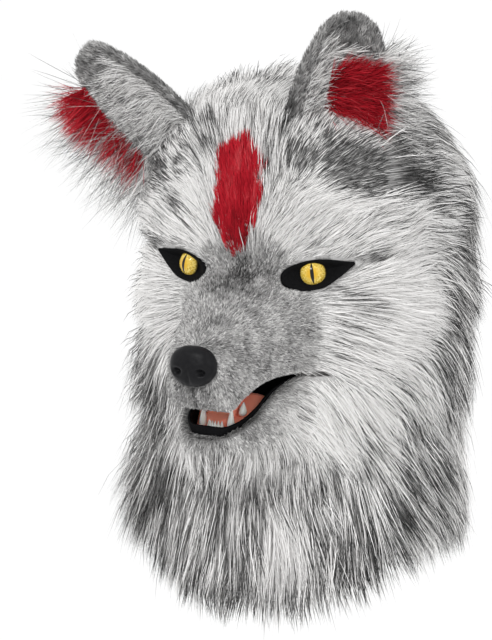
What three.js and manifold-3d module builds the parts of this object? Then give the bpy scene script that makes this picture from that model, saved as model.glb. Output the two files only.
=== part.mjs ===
// A full-head wolf mask: a hollow sewn hood with long fur, a plush muzzle and jaw, moulded nose, eyes,
// gum, tongue and teeth, and two cupped ears.
// Millimetres, +Z up. The origin is where the crown of the wearer's head touches the inside of the hood.
// The face looks along -Y, and +X is the wolf's left.
import * as THREE from 'three';
import { mergeVertices } from 'three/addons/utils/BufferGeometryUtils.js';
import Module from 'manifold-3d';

const wasm = await Module();
wasm.setup();

// Driving sizes of the hood
const CLOTH = 3; // wall of the hood, backing cloth and foam
const GAP = 0.35; // between pieces that touch
const HOOD_DROP = 336; // crown to hem, outside
const HEM_RISE = 44; // from the front of the hem to its sides and back
const HOOD_HALF_WIDTH = 88;
const HOOD_FRONT = 92; // from the hood's axis to the brow
const HOOD_BACK = 104; // from the hood's axis to the back of the head
const HOOD_AXIS_Y = 10; // the hood's axis lies behind the crown seat
const HOOD_SIDES = 20; // facets round the hood
const PAST_HEM = 40; // forms that cut the hood open run on this far below its hem

// Driving sizes of the fur
const FACE_PILE = 8; // body of the fur under its locks, on the forehead
const CROWN_PILE = 12;
const MANE_PILE = 25; // on the cheeks and the ruff
const BACK_PILE = 19;
const THROAT_PILE = 18;
const LOCK_LENGTH = 64;
const LOCK_WIDTH = 34;
const LOCK_DEPTH = 13;
const LOCK_ROOT = 7; // a lock's root lies this far inside the fur's body

// Driving sizes of the muzzle, the jaw and the mouth
const MUZZLE_SUNK = 26; // the muzzle's first section lies this far behind the brow
const MUZZLE_LENGTH = 98;
const MUZZLE_HALF_WIDTH = 58;
const MUZZLE_WALL = 4.5;
const NOSE_BRIDGE_Z = -104; // top of the muzzle at the brow
const LIP_Z = -198; // lower edge of the upper lip, in front
const MOUTH_CORNER_Z = -183;
const JAW_DROP = 20.5; // how far the front of the mouth gapes
const JAW_LENGTH = 86;
const JAW_HALF_WIDTH = 50;
const JAW_HEIGHT = 27; // front lip to the underside of the chin
const MOUTH_DEPTH = 17; // from the lips to the pocket's floor and roof
const LINING = 1.6; // black cloth inside the mouth
const TUBE_SIDES = 14; // facets round the muzzle, the jaw and the mouth
const PAST_ROOT = 20; // forms that cut the muzzle and the jaw open run on this far behind them
const HOLE_ROOM = 2; // between the mouth's pocket and the hood's hole behind it
const LINING_RIM = 6; // the lining stands this far above the jaw's lip at the front
const GUM_SUNK = 3.5; // the gum's top lies this far below the jaw's lip
const GUM_INSET = 3; // the gum leaves this much of the black lining bare at its sides and ends
const GUM_BACK = 0.48; // share of the jaw's length where the gum starts
const TOOTH_ROOT = 1.6; // a tooth stands this deep in the gum
const TOOTH_SIDES = 6;

// Driving sizes of the eyes and the nose
const EYE_X = 48;
const EYE_Z = -113;
const EYE_RISE = 3.4; // the eye's middle lies this far before the hood's face
const EYE_BALL_RADIUS = 9.8;
const EYE_STAND = 2.5; // how far the eye's front stands before its middle
const EYE_DEPTH = 9;
const EYE_TURN = 18; // degrees that each eye looks outwards
const EYE_LIFT = 0.06; // slope of its look upwards
const EYE_SLANT = 0.14; // slope of the almond up to its outer corner
const EYE_ROOM = 1; // between the eye and the muzzle's plush
const SURROUND_LENGTH = 50;
const SURROUND_HEIGHT = 21;
const SURROUND_WALL = 2.2;
const NOSE_HALF = new THREE.Vector3(16.5, 9, 13.5);
const NOSE_UP = 31; // middle of the nose above the lip
const NOSTRIL_OUT = 0.55; // share of the nose's half width
const NOSTRIL_RADIUS = 3.2;
const NOSE_PROUD = 1; // the nose's middle lies this far before the muzzle's tip

// Driving sizes of the ears
const EAR_HEIGHT = 104;
const EAR_HALF_WIDTH = 35;
const EAR_WALL = 7; // back cloth, stuffing and front cloth
const EAR_CUP = 15; // depth of the cup
const EAR_LINING_PILE = 7;
const EAR_RED_PILE = 4;
const LAYER_GAP = 1.3; // room for the facets of two curved layers
const EAR_GRID = 6;

const deg = THREE.MathUtils.degToRad;
const { lerp, smoothstep } = THREE.MathUtils;
const MUZZLE_ROOT_Y = HOOD_AXIS_Y - HOOD_FRONT + MUZZLE_SUNK;
const vec = (x, y, z) => new THREE.Vector3(x, y, z);

// Solids from geometry, and back

function solidOf(geometry) {
  const bare = geometry.clone();
  bare.deleteAttribute('normal');
  bare.deleteAttribute('uv');
  const merged = mergeVertices(bare, 1e-3);
  const corners = new Uint32Array(merged.index.array);
  const places = merged.attributes.position.array;
  const make = () => new wasm.Manifold(
    new wasm.Mesh({ numProp: 3, vertProperties: places, triVerts: corners }),
  );
  const made = make();
  if (made.volume() > 0) return made;
  corners.forEach((corner, i) => {
    if (i % 3 !== 1) return;
    corners[i] = corners[i + 1];
    corners[i + 1] = corner;
  });
  return make();
}

function geometryOf(solid) {
  const mesh = solid.getMesh();
  const places = new Float32Array(mesh.numVert * 3);
  for (let i = 0; i < mesh.numVert; i++) {
    const from = i * mesh.numProp;
    places.set(mesh.vertProperties.subarray(from, from + 3), i * 3);
  }
  return new THREE.BufferGeometry()
    .setAttribute('position', new THREE.BufferAttribute(places, 3))
    .setIndex(new THREE.BufferAttribute(mesh.triVerts, 1));
}

// The largest body of a solid, without the crumbs that a cut leaves.
function mainBody(solid) {
  return solid.decompose().reduce((a, b) => (a.volume() > b.volume() ? a : b));
}

const union = (solids) => wasm.Manifold.union(solids);

// A closed solid through rings of equally many points, an even number. Each end is closed by a strip
// across it, so a folded section stays whole.
function loft(rings) {
  const sides = rings[0].length;
  const faces = [];
  for (let r = 0; r + 1 < rings.length; r++) {
    for (let i = 0; i < sides; i++) {
      const a = r * sides + i;
      const b = r * sides + ((i + 1) % sides);
      faces.push(a, b, a + sides, b, b + sides, a + sides);
    }
  }
  const last = (rings.length - 1) * sides;
  for (let i = 0; i < sides / 2 - 1; i++) {
    const j = sides - 1 - i;
    faces.push(j, i + 1, i, j, j - 1, i + 1);
    faces.push(last + i, last + i + 1, last + j, last + i + 1, last + j - 1, last + j);
  }
  const geometry = new THREE.BufferGeometry().setFromPoints(rings.flat());
  geometry.setIndex(faces);
  return solidOf(geometry);
}

function extruded(outline, from, to) {
  const shape = new THREE.Shape(outline.map(([x, y]) => new THREE.Vector2(x, y)));
  const geometry = new THREE.ExtrudeGeometry(shape, { depth: to - from, bevelEnabled: false });
  return solidOf(geometry.translate(0, 0, from));
}

function ball(centre, half, wide = 16, high = 10) {
  const geometry = new THREE.SphereGeometry(1, wide, high);
  return solidOf(geometry.rotateX(Math.PI / 2).scale(half.x, half.y, half.z).translate(...centre));
}

// Value of a table's column at a share between its rows.
function between(table, key, column, at) {
  const last = table.length - 1;
  const i = Math.max(0, Math.min(last - 1, table.findIndex((row) => row[key] > at) - 1));
  const r = at >= table[last][key] ? last - 1 : i;
  const t = (at - table[r][key]) / (table[r + 1][key] - table[r][key]);
  return lerp(table[r][column], table[r + 1][column], Math.max(0, Math.min(1, t)));
}

// The hood's form

// down: share of the hood's drop. wide, front, back: shares of its half width, front and back.
// square: 2 is an ellipse, more is a squarer outline. rise: share of a layer's thickness that goes upward.
const HOOD = [
  { down: 0.0, wide: 0.24, front: 0.28, back: 0.26, square: 2.0, rise: 1.0 },
  { down: 0.018, wide: 0.52, front: 0.58, back: 0.52, square: 2.0, rise: 0.85 },
  { down: 0.048, wide: 0.72, front: 0.81, back: 0.73, square: 2.1, rise: 0.6 },
  { down: 0.095, wide: 0.85, front: 0.92, back: 0.86, square: 2.3, rise: 0.35 },
  { down: 0.175, wide: 0.94, front: 0.97, back: 0.95, square: 2.6, rise: 0.12 },
  { down: 0.307, wide: 0.97, front: 1.0, back: 1.0, square: 2.8, rise: 0.0 },
  { down: 0.5, wide: 0.98, front: 0.97, back: 0.98, square: 2.6, rise: 0.0 },
  { down: 0.72, wide: 0.97, front: 0.94, back: 0.92, square: 2.3, rise: 0.0 },
  { down: 0.872, wide: 1.0, front: 0.98, back: 0.93, square: 2.2, rise: 0.0 },
  { down: 1.0, wide: 1.05, front: 1.06, back: 0.98, square: 2.2, rise: 0.0 },
];

const awayFromFace = (turn) => Math.abs(((((turn + 180) % 360) + 360) % 360) - 180);

// The hem hangs lowest in front, like a bib, and rises to the sides.
function hoodZ(down, turn) {
  const rise = HEM_RISE * smoothstep(down, 0.55, 1) * smoothstep(awayFromFace(turn), 10, 72);
  return CLOTH - HOOD_DROP * down + rise;
}

// A point of the hood's outside, moved out by grow. turn: degrees from the face, to the wolf's left.
function hoodPoint(down, turn, grow = 0) {
  const size = (column) => between(HOOD, 'down', column, down);
  const power = 2 / size('square');
  const s = Math.sin(deg(turn));
  const c = Math.cos(deg(turn));
  const reach = c > 0 ? HOOD_FRONT * size('front') : HOOD_BACK * size('back');
  const rise = size('rise');
  const spread = grow * Math.sqrt(1 - rise * rise);
  return vec(
    (HOOD_HALF_WIDTH * size('wide') + spread) * Math.sign(s) * Math.abs(s) ** power,
    HOOD_AXIS_Y - (reach + spread) * Math.sign(c) * Math.abs(c) ** power,
    hoodZ(down, turn) + grow * rise,
  );
}

// How far forward the hood's outside lies at x and at a share of its drop.
function hoodFrontY(x, down) {
  const size = (column) => between(HOOD, 'down', column, down);
  const share = (Math.abs(x) / (HOOD_HALF_WIDTH * size('wide'))) ** size('square');
  return HOOD_AXIS_Y - HOOD_FRONT * size('front') * (1 - share) ** (1 / size('square'));
}

const turns = (sides) => Array.from({ length: sides }, (_, i) => (360 * i) / sides);

// The hood's filled form, moved out by grow(down, turn). below: how far it runs on past the hem.
function hoodForm(grow, below = 0) {
  const ring = ({ down }) => turns(HOOD_SIDES).map((turn) => hoodPoint(down, turn, grow(down, turn)));
  const rings = HOOD.map(ring);
  if (below) rings.push(rings[rings.length - 1].map((p) => p.clone().setZ(p.z - below)));
  return loft(rings);
}

const hoodGrown = (grow, below = 0) => hoodForm(() => grow, below);

// Muzzle and jaw: sections across, from inside the face to the tip

// out: share of the muzzle's length. wide: share of its half width. top, lip: how far below the bridge and
// above the front lip, as shares of the muzzle's height. round: 2 is an ellipse, more is squarer.
const MUZZLE = [
  { out: 0.0, wide: 1.0, top: 0.0, lip: 0.19, round: 2.2 },
  { out: 0.26, wide: 0.82, top: 0.03, lip: 0.185, round: 2.2 },
  { out: 0.45, wide: 0.665, top: 0.14, lip: 0.18, round: 2.3 },
  { out: 0.64, wide: 0.55, top: 0.285, lip: 0.145, round: 2.4 },
  { out: 0.81, wide: 0.475, top: 0.4, lip: 0.07, round: 2.4 },
  { out: 0.93, wide: 0.4, top: 0.475, lip: 0.01, round: 2.3 },
  { out: 1.0, wide: 0.24, top: 0.55, lip: 0.09, round: 2.0 },
];

// out, wide, round: as for the muzzle. lip: share of the way down from the mouth's corner to the front lip.
// chin: how far below the front lip, as a share of the jaw's height.
const JAW = [
  { out: 0.0, wide: 1.0, lip: 0.0, chin: 1.05, round: 2.4 },
  { out: 0.2, wide: 0.9, lip: 0.04, chin: 1.0, round: 2.4 },
  { out: 0.5, wide: 0.72, lip: 0.25, chin: 0.93, round: 2.3 },
  { out: 0.72, wide: 0.58, lip: 0.66, chin: 0.85, round: 2.2 },
  { out: 0.9, wide: 0.42, lip: 0.88, chin: 0.74, round: 2.1 },
  { out: 1.0, wide: 0.22, lip: 1.0, chin: 0.5, round: 2.0 },
];
const MUZZLE_HEIGHT = NOSE_BRIDGE_Z - LIP_Z;
const JAW_FRONT_LIP_Z = LIP_Z - JAW_DROP;

// An outline across the muzzle at y, from its half width, its top and its bottom.
function across(y, half, top, bottom, round) {
  const middle = (top + bottom) / 2;
  const high = (top - bottom) / 2;
  return turns(TUBE_SIDES).map((turn) => {
    const s = Math.sin(deg(turn));
    const c = Math.cos(deg(turn));
    const bend = 2 / round;
    const x = half * Math.sign(s) * Math.abs(s) ** bend;
    return vec(x, y, middle + high * Math.sign(c) * Math.abs(c) ** bend);
  });
}

const muzzleTop = (row) => NOSE_BRIDGE_Z - MUZZLE_HEIGHT * row.top;
const muzzleLip = (row) => LIP_Z + MUZZLE_HEIGHT * row.lip;
const jawLip = (row) => lerp(MOUTH_CORNER_Z, JAW_FRONT_LIP_Z, row.lip);
const jawChin = (row) => JAW_FRONT_LIP_Z - JAW_HEIGHT * row.chin;

// grow moves the muzzle's outside out. under opens it past the lip, for a cavity with no floor.
function muzzleForm(grow, under = 0, back = 0) {
  const rings = MUZZLE.map((row, i) => {
    const y = MUZZLE_ROOT_Y - MUZZLE_LENGTH * row.out - (i === MUZZLE.length - 1 ? grow : 0);
    const half = MUZZLE_HALF_WIDTH * row.wide + grow;
    return across(y, half, muzzleTop(row) + grow, muzzleLip(row) - (under || grow), row.round);
  });
  if (back) rings.unshift(rings[0].map((p) => p.clone().setY(p.y + back)));
  return loft(rings);
}

function jawForm(grow, back = 0) {
  const rings = JAW.map((row, i) => {
    const y = MUZZLE_ROOT_Y - JAW_LENGTH * row.out - (i === JAW.length - 1 ? grow : 0);
    const half = JAW_HALF_WIDTH * row.wide + grow;
    return across(y, half, jawLip(row) + grow, jawChin(row) - grow, row.round);
  });
  if (back) rings.unshift(rings[0].map((p) => p.clone().setY(p.y + back)));
  return loft(rings);
}

// The gape: everything between the two lip lines, as wide as the muzzle or wider. rim: how far it keeps off
// the jaw's lip at the front.
function gapeForm(grow, rim = 0) {
  const side = 2 * MUZZLE_HALF_WIDTH;
  const upper = MUZZLE.map((row) => [MUZZLE_ROOT_Y - MUZZLE_LENGTH * row.out, muzzleLip(row) + grow]);
  const lowAt = (row) => jawLip(row) - grow + rim * row.out ** 2;
  const lower = JAW.map((row) => [MUZZLE_ROOT_Y - JAW_LENGTH * row.out, lowAt(row)]).reverse();
  const front = MUZZLE_ROOT_Y - MUZZLE_LENGTH - 2 * NOSE_HALF.y;
  const outline = [...upper, [front, upper[upper.length - 1][1]], [front, lower[0][1]], ...lower];
  return extruded(outline, -side, side).transform([0, 1, 0, 0, 0, 0, 1, 0, 1, 0, 0, 0, 0, 0, 0, 1]);
}

const hoodClear = hoodGrown(GAP, PAST_HEM);

const root = new THREE.Group();
root.name = 'wolf_mask';

function add(name, solid, material) {
  const mesh = new THREE.Mesh(geometryOf(mainBody(solid)), material);
  mesh.name = name;
  root.add(mesh);
}

const finish = (color, roughness, metalness = 0) =>
  new THREE.MeshStandardMaterial({ color, roughness, metalness });
const greyFur = finish(0xb9b9b4, 0.9);
const paleFur = finish(0xd8d8d2, 0.9);
const redFur = finish(0xb3121f, 0.85);
const greyPlush = finish(0x8f8f8f, 0.95);
const darkPlush = finish(0x6f6f6f, 0.95);
const blackCloth = finish(0x101010, 0.9);
const backing = finish(0x5c5c5a, 0.95);
const blackVinyl = finish(0x1b1b1d, 0.35);
const pinkVinyl = finish(0xe0705a, 0.4);
const toothWhite = finish(0xf2f0ea, 0.3);
const amberResin = finish(0xe8c53a, 0.1);

// Eyes

// A frame at each eye: its middle on the face, its outward direction and its outer corner's direction.
function eyeFrame(side) {
  const out = vec(side * Math.sin(deg(EYE_TURN)), -Math.cos(deg(EYE_TURN)), EYE_LIFT).normalize();
  const along = vec(side * Math.cos(deg(EYE_TURN)), Math.sin(deg(EYE_TURN)), EYE_SLANT);
  along.addScaledVector(out, -along.dot(out)).normalize();
  const up = vec(0, 0, 0).crossVectors(out, along).multiplyScalar(side);
  const y = hoodFrontY(EYE_X, (CLOTH - EYE_Z) / HOOD_DROP) - EYE_RISE;
  return { at: vec(side * EYE_X, y, EYE_Z), out, along, up };
}

// Almond outline, as shares of its length towards the outer corner and of its height.
const ALMOND = [
  [-0.43, -0.2], [-0.41, 0.12], [-0.27, 0.31], [0, 0.42], [0.24, 0.37], [0.42, 0.27], [0.58, 0.17],
  [0.46, -0.06], [0.3, -0.3], [0.12, -0.5], [-0.14, -0.53], [-0.33, -0.4],
];

// The almond as a prism through the face.
const EYE_REACH = 26;
function almond(side, grow) {
  const { at, out, along, up } = eyeFrame(side);
  const outline = (depth) => ALMOND.map(([a, b]) => at.clone()
    .addScaledVector(along, a * (SURROUND_LENGTH + 2 * grow))
    .addScaledVector(up, b * (SURROUND_HEIGHT + 2 * grow))
    .addScaledVector(out, depth));
  return loft([outline(-EYE_REACH), outline(EYE_REACH)]);
}

function eyeBall(side, grow) {
  const { at, out } = eyeFrame(side);
  const radius = EYE_BALL_RADIUS + grow;
  const centre = at.clone().addScaledVector(out, EYE_STAND - EYE_BALL_RADIUS);
  return ball(centre.toArray(), vec(radius, radius, radius), 14, 8);
}

function makeEye(side, name) {
  const { at, out } = eyeFrame(side);
  const patch = almond(side, 0).intersect(hoodGrown(GAP + SURROUND_WALL)).subtract(hoodClear);
  add(`eye_surround_${name}`, patch.subtract(union([eyeBall(side, GAP), muzzleForm(GAP)])), blackCloth);
  const back = at.clone().addScaledVector(out, EYE_STAND - EYE_DEPTH);
  add(`eye_${name}`, eyeBall(side, 0).trimByPlane(out.toArray(), out.dot(back)), amberResin);
}

// Ears

// up: share of the ear's height. wide: share of its half width. deep: share of the cup's depth.
const EAR = [
  { up: -0.14, wide: 0.86, deep: 1.1 },
  { up: 0.1, wide: 1.0, deep: 1.05 },
  { up: 0.32, wide: 1.0, deep: 0.98 },
  { up: 0.54, wide: 0.91, deep: 0.84 },
  { up: 0.75, wide: 0.72, deep: 0.6 },
  { up: 0.91, wide: 0.48, deep: 0.34 },
  { up: 1.0, wide: 0.24, deep: 0.12 },
];

// Where each ear stands on the hood, its way up and the way that its cup opens. The ears are posed unlike:
// the left one stands and the right one hangs outwards. hand: 1 for the wolf's left. sunk: share of its
// height inside the hood.
const EARS = {
  left: {
    hand: 1, down: 0.057, turn: 45, sunk: 0.26, up: vec(0.2, -0.1, 0.97), open: vec(0.64, -0.76, 0),
  },
  right: {
    hand: -1, down: 0.137, turn: -65, sunk: -0.03, up: vec(-0.66, -0.24, 0.72), open: vec(-0.1, -0.9, -0.4),
  },
};

// side points to the ear's outer edge.
function earFrame({ hand, down, turn, sunk, up, open }) {
  const high = up.clone().normalize();
  const base = hoodPoint(down, turn).addScaledVector(high, -sunk * EAR_HEIGHT);
  const front = open.clone().addScaledVector(high, -open.dot(high)).normalize();
  return { base, high, front, side: vec(0, 0, 0).crossVectors(high, front).multiplyScalar(hand) };
}

// A point of the ear: up its height, across its width from -1 to 1, and before its back face.
function earPoint(frame, row, across, before) {
  const cup = EAR_CUP * row.deep * (across * across - 1);
  return frame.base.clone()
    .addScaledVector(frame.high, EAR_HEIGHT * row.up)
    .addScaledVector(frame.side, EAR_HALF_WIDTH * row.wide * across)
    .addScaledVector(frame.front, cup + before);
}

// A leaf of the ear between two depths before its back face. inner, outer: shares of its half width.
function earLeaf(frame, from, to, inner = -1, outer = 1, rows = EAR) {
  const sweep = Array.from({ length: EAR_GRID + 1 }, (_, i) => lerp(inner, outer, i / EAR_GRID));
  const back = [...sweep].reverse();
  return loft(rows.map((row) => [
    ...sweep.map((s) => earPoint(frame, row, s, from)),
    ...back.map((s) => earPoint(frame, row, s, to)),
  ]));
}

// Wisps of the lining. up and across: where a wisp is rooted. long: share of a lock's length. outward,
// upward, forward: the way it points.
const EAR_WISPS = [
  { up: 0.12, across: 0.86, long: 0.9, outward: 1, upward: 0.15, forward: 0.35 },
  { up: 0.34, across: 0.9, long: 1.0, outward: 1, upward: 0.55, forward: 0.3 },
  { up: 0.58, across: 0.84, long: 0.85, outward: 1, upward: 0.8, forward: 0.3 },
  { up: 0.1, across: 0, long: 0.6, outward: 0.3, upward: 0.6, forward: 0.6 },
];
const RED_ROWS = [1, 5]; // rows of the ear between which its red fur lies
const RED_INNER = -0.25;
const RED_OUTER = 0.85;
const LINING_FRONT = EAR_WALL + LAYER_GAP + EAR_LINING_PILE;
const RED_FRONT = LINING_FRONT + LAYER_GAP + EAR_RED_PILE;

function makeEar(name) {
  const frame = earFrame(EARS[name]);
  const redLeaf = (grow) => earLeaf(
    frame, LINING_FRONT + LAYER_GAP - grow, RED_FRONT + grow,
    RED_INNER - grow / EAR_HALF_WIDTH, RED_OUTER + grow / EAR_HALF_WIDTH, EAR.slice(...RED_ROWS),
  );
  const edge = 1 + LAYER_GAP / EAR_HALF_WIDTH;
  const wisps = union(EAR_WISPS.map((wisp) => {
    const { up } = wisp;
    const row = { up, wide: between(EAR, 'up', 'wide', up), deep: between(EAR, 'up', 'deep', up) };
    const at = earPoint(frame, row, wisp.across, LINING_FRONT - EAR_LINING_PILE / 2);
    const way = vec(0, 0, 0).addScaledVector(frame.side, wisp.outward)
      .addScaledVector(frame.high, wisp.upward).addScaledVector(frame.front, wisp.forward);
    return lock(at, way, frame.front, LOCK_LENGTH * wisp.long, LOCK_WIDTH * 0.5, LOCK_DEPTH * 0.5);
  }));
  const clear = earLeaf(frame, -LAYER_GAP, EAR_WALL + LAYER_GAP, -edge, edge);
  const lining = earLeaf(frame, EAR_WALL + LAYER_GAP, LINING_FRONT)
    .add(wisps.subtract(union([clear, redLeaf(GAP)])));
  add(`ear_${name}`, earLeaf(frame, 0, EAR_WALL).subtract(hoodClear), darkPlush);
  add(`ear_lining_${name}`, lining.subtract(hoodClear), paleFur);
  add(`ear_red_fur_${name}`, redLeaf(0).subtract(hoodClear), redFur);
  return union([earLeaf(frame, -GAP, RED_FRONT + GAP, -edge, edge), wisps]);
}

// Fur locks

// One lock, tapering to its tip. way: the way that it leaves its root. out: away from the skin.
function lock(rootAt, way, out, length, width, depth, grow = 0) {
  const along = way.clone().normalize();
  const wideways = vec(0, 0, 0).crossVectors(along, out).normalize();
  const deepways = vec(0, 0, 0).crossVectors(wideways, along).normalize();
  const start = rootAt.clone().addScaledVector(along, -LOCK_ROOT);
  const corners = [[1, -0.6], [0, 1.2], [-1, -0.6]].map(([a, b]) => start.clone()
    .addScaledVector(wideways, a * (width / 2 + 2 * grow))
    .addScaledVector(deepways, b * (depth / 2 + 2 * grow)));
  const tip = rootAt.clone().addScaledVector(along, length + 4 * grow);
  const geometry = new THREE.BufferGeometry().setFromPoints([...corners, tip]);
  geometry.setIndex([0, 1, 3, 1, 2, 3, 2, 0, 3, 0, 2, 1]);
  return solidOf(geometry);
}

// A repeatable spread between -1 and 1 for uneven locks.
const uneven = (n) => 2 * (((Math.sin(n * 127.1) * 43758.5453) % 1 + 1) % 1) - 1;

// Body of the fur: deep at the sides, the back and the ruff, short on the face.
function pile(down, turn) {
  const away = awayFromFace(turn);
  const mane = lerp(MANE_PILE, BACK_PILE, smoothstep(away, 110, 165));
  const face = lerp(FACE_PILE, THROAT_PILE, smoothstep(down, 0.56, 0.7));
  return lerp(CROWN_PILE, lerp(face, mane, smoothstep(away, 30, 62)), smoothstep(down, 0.02, 0.16));
}

const HEM_FRINGE = 14; // the fur's body hangs this far below the hem
const furForm = (grow) => hoodForm((down, turn) => pile(down, turn) + grow, HEM_FRINGE);

// A wedge of space round the hood's axis, between two turns and two heights.
const FAR = 420;
function wedge(fromTurn, toTurn, bottom, top) {
  const steps = 6;
  const arc = Array.from({ length: steps + 1 }, (_, i) => deg(lerp(fromTurn, toTurn, i / steps)));
  const outline = [[0, HOOD_AXIS_Y], ...arc.map((t) => [FAR * Math.sin(t), HOOD_AXIS_Y - FAR * Math.cos(t)])];
  return extruded(outline, bottom, top);
}

// The red blaze's outline on the forehead, as shares of the hood's half width and drop.
const BLAZE = [
  { x: 0.02, down: 0.074 }, { x: 0.16, down: 0.134 }, { x: 0.16, down: 0.205 },
  { x: 0.03, down: 0.315 }, { x: -0.23, down: 0.26 }, { x: -0.22, down: 0.107 },
];
function blazeSpace() {
  const front = (y) => BLAZE.map(({ x, down }) => vec(x * HOOD_HALF_WIDTH, y, CLOTH - HOOD_DROP * down));
  return loft([front(0), front(-FAR)]);
}

// Rows of locks. down: share of the hood's drop. from, to: turns from the face in degrees. long: share of
// the lock's length. lift: degrees off the skin. lean: the way it points, 0 down and 90 round to the back.
const LOCKS = {
  blaze: [{ down: 0.14, from: -5, to: 5, count: 1, long: 0.35, lift: 12, lean: 180 }],
  forehead: [
    { down: 0.21, from: 18, to: 42, count: 2, long: 0.4, lift: 16, lean: 140 },
  ],
  cheek: [
    { down: 0.27, from: 62, to: 92, count: 3, long: 0.75, lift: 22, lean: 62 },
    { down: 0.38, from: 56, to: 92, count: 3, long: 0.9, lift: 23, lean: 46 },
    { down: 0.49, from: 54, to: 94, count: 3, long: 0.95, lift: 22, lean: 34 },
    { down: 0.6, from: 46, to: 96, count: 4, long: 0.95, lift: 20, lean: 20 },
  ],
  crown: [
    { down: 0.05, from: -28, to: 28, count: 3, long: 0.6, lift: 58, lean: 170 },
    { down: 0.03, from: 90, to: 270, count: 5, long: 0.6, lift: 24, lean: 0 },
  ],
  mane: [
    { down: 0.18, from: 118, to: 242, count: 4, long: 0.95, lift: 12, lean: 0 },
    { down: 0.38, from: 122, to: 238, count: 4, long: 1.0, lift: 11, lean: 0 },
    { down: 0.58, from: 116, to: 244, count: 5, long: 1.0, lift: 10, lean: 0 },
    { down: 0.78, from: 122, to: 238, count: 4, long: 1.0, lift: 9, lean: 0 },
    { down: 0.97, from: 114, to: 246, count: 6, long: 0.72, lift: 5, lean: 0 },
  ],
  ruff: [
    { down: 0.72, from: 44, to: 98, count: 3, long: 1.0, lift: 17, lean: 8 },
    { down: 0.86, from: 42, to: 98, count: 3, long: 0.95, lift: 13, lean: 2 },
    { down: 0.98, from: 40, to: 98, count: 4, long: 0.62, lift: 7, lean: -4 },
  ],
  throat: [
    { down: 0.8, from: -22, to: 22, count: 2, long: 0.95, lift: 14, lean: 0 },
    { down: 0.9, from: -22, to: 22, count: 3, long: 0.8, lift: 10, lean: 0 },
    { down: 0.98, from: -24, to: 24, count: 3, long: 0.55, lift: 6, lean: 0 },
  ],
};

// Steps along the skin that give its slope, and how far locks differ: degrees of lean, shares of the rest.
const DOWN_STEP = 0.03;
const TURN_STEP = 4;
const LEAN_SPREAD = 9;
const LIFT_SPREAD = 0.2;
const LENGTH_SPREAD = 0.14;

// The locks of a panel, rooted in the fur's body. side: -1 mirrors the turns to the wolf's right.
function locksOf(panel, side, grow) {
  return LOCKS[panel].flatMap((row, r) => Array.from({ length: row.count }, (_, i) => {
    const seed = 31 * r + i + 7 * panel.length;
    const share = row.count > 1 ? i / (row.count - 1) : 0.5;
    const turn = side * lerp(row.from, row.to, share);
    const rise = pile(row.down, turn);
    const at = hoodPoint(row.down, turn, rise);
    const below = hoodPoint(Math.min(1, row.down + DOWN_STEP), turn, rise);
    const above = hoodPoint(Math.max(0, row.down - DOWN_STEP), turn, rise);
    const down = below.sub(above).normalize();
    const round = hoodPoint(row.down, turn + side * TURN_STEP, rise).sub(at).normalize();
    const out = vec(0, 0, 0).crossVectors(down, round).multiplyScalar(side).normalize();
    const lean = deg(row.lean + LEAN_SPREAD * uneven(seed));
    const along = down.clone().multiplyScalar(Math.cos(lean)).addScaledVector(round, Math.sin(lean));
    const lift = deg(row.lift * (1 + LIFT_SPREAD * uneven(seed + 3)));
    const way = along.multiplyScalar(Math.cos(lift)).addScaledVector(out, Math.sin(lift));
    const length = LOCK_LENGTH * row.long * (1 + LENGTH_SPREAD * uneven(seed + 5));
    return lock(at, way, out, length, LOCK_WIDTH, LOCK_DEPTH, grow);
  }));
}

// Where each fur panel lies on the hood: turns and heights of its wedges. A panel is cut by the panels
// before it.
const EAR_LINE = 104; // turn at which the face's fur meets the mane
const THROAT_TURN = 34;
const CHEEK_TURN = 47; // the cheek's fur starts here, and the shorter fur of the brow ends
const CROWN_Z = CLOTH - 0.057 * HOOD_DROP;
const BROW_Z = EYE_Z + SURROUND_HEIGHT / 2 + 5; // lower edge of the forehead's fur
const MOUTH_Z = MOUTH_CORNER_Z - 1;
const RUFF_TOP_Z = CLOTH - 0.645 * HOOD_DROP;
const HEM_Z = -HOOD_DROP - LOCK_LENGTH;
const TOP_Z = CLOTH + CROWN_PILE + LOCK_LENGTH;

// The space on one side of the face, between two turns from it and two heights.
function sideWedge(side, from, to, bottom, top) {
  const [a, b] = [from * side, to * side].sort((p, q) => p - q);
  return wedge(a, b, bottom, top);
}

const HANDS = [['left', 1], ['right', -1]];
const PANELS = [
  { name: 'blaze_fur', locks: 'blaze', side: 1, fur: redFur, space: blazeSpace() },
  ...HANDS.map(([hand, side]) => ({
    name: `forehead_fur_${hand}`,
    locks: 'forehead',
    side,
    fur: paleFur,
    space: sideWedge(side, 0, CHEEK_TURN, BROW_Z, CROWN_Z),
  })),
  ...HANDS.map(([hand, side]) => ({
    name: `cheek_fur_${hand}`,
    locks: 'cheek',
    side,
    fur: paleFur,
    space: union([
      sideWedge(side, CHEEK_TURN, EAR_LINE, RUFF_TOP_Z, CROWN_Z),
      sideWedge(side, 0, CHEEK_TURN + 1, MOUTH_Z, BROW_Z),
      sideWedge(side, THROAT_TURN, CHEEK_TURN + 1, RUFF_TOP_Z, BROW_Z),
    ]),
  })),
  { name: 'crown_fur', locks: 'crown', side: 1, fur: greyFur, space: wedge(-180, 180, CROWN_Z, TOP_Z) },
  {
    name: 'mane_fur', locks: 'mane', side: 1, fur: greyFur,
    space: wedge(EAR_LINE, 360 - EAR_LINE, HEM_Z, CROWN_Z),
  },
  ...HANDS.map(([hand, side]) => ({
    name: `ruff_fur_${hand}`,
    locks: 'ruff',
    side,
    fur: greyFur,
    space: sideWedge(side, THROAT_TURN, EAR_LINE, HEM_Z, RUFF_TOP_Z),
  })),
  {
    name: 'throat_fur', locks: 'throat', side: 1, fur: greyFur,
    space: wedge(-THROAT_TURN, THROAT_TURN, HEM_Z, MOUTH_Z),
  },
];

// Assembly

const CLEAR_FUR = 0.8; // fur stands this far off the hard pieces

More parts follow.
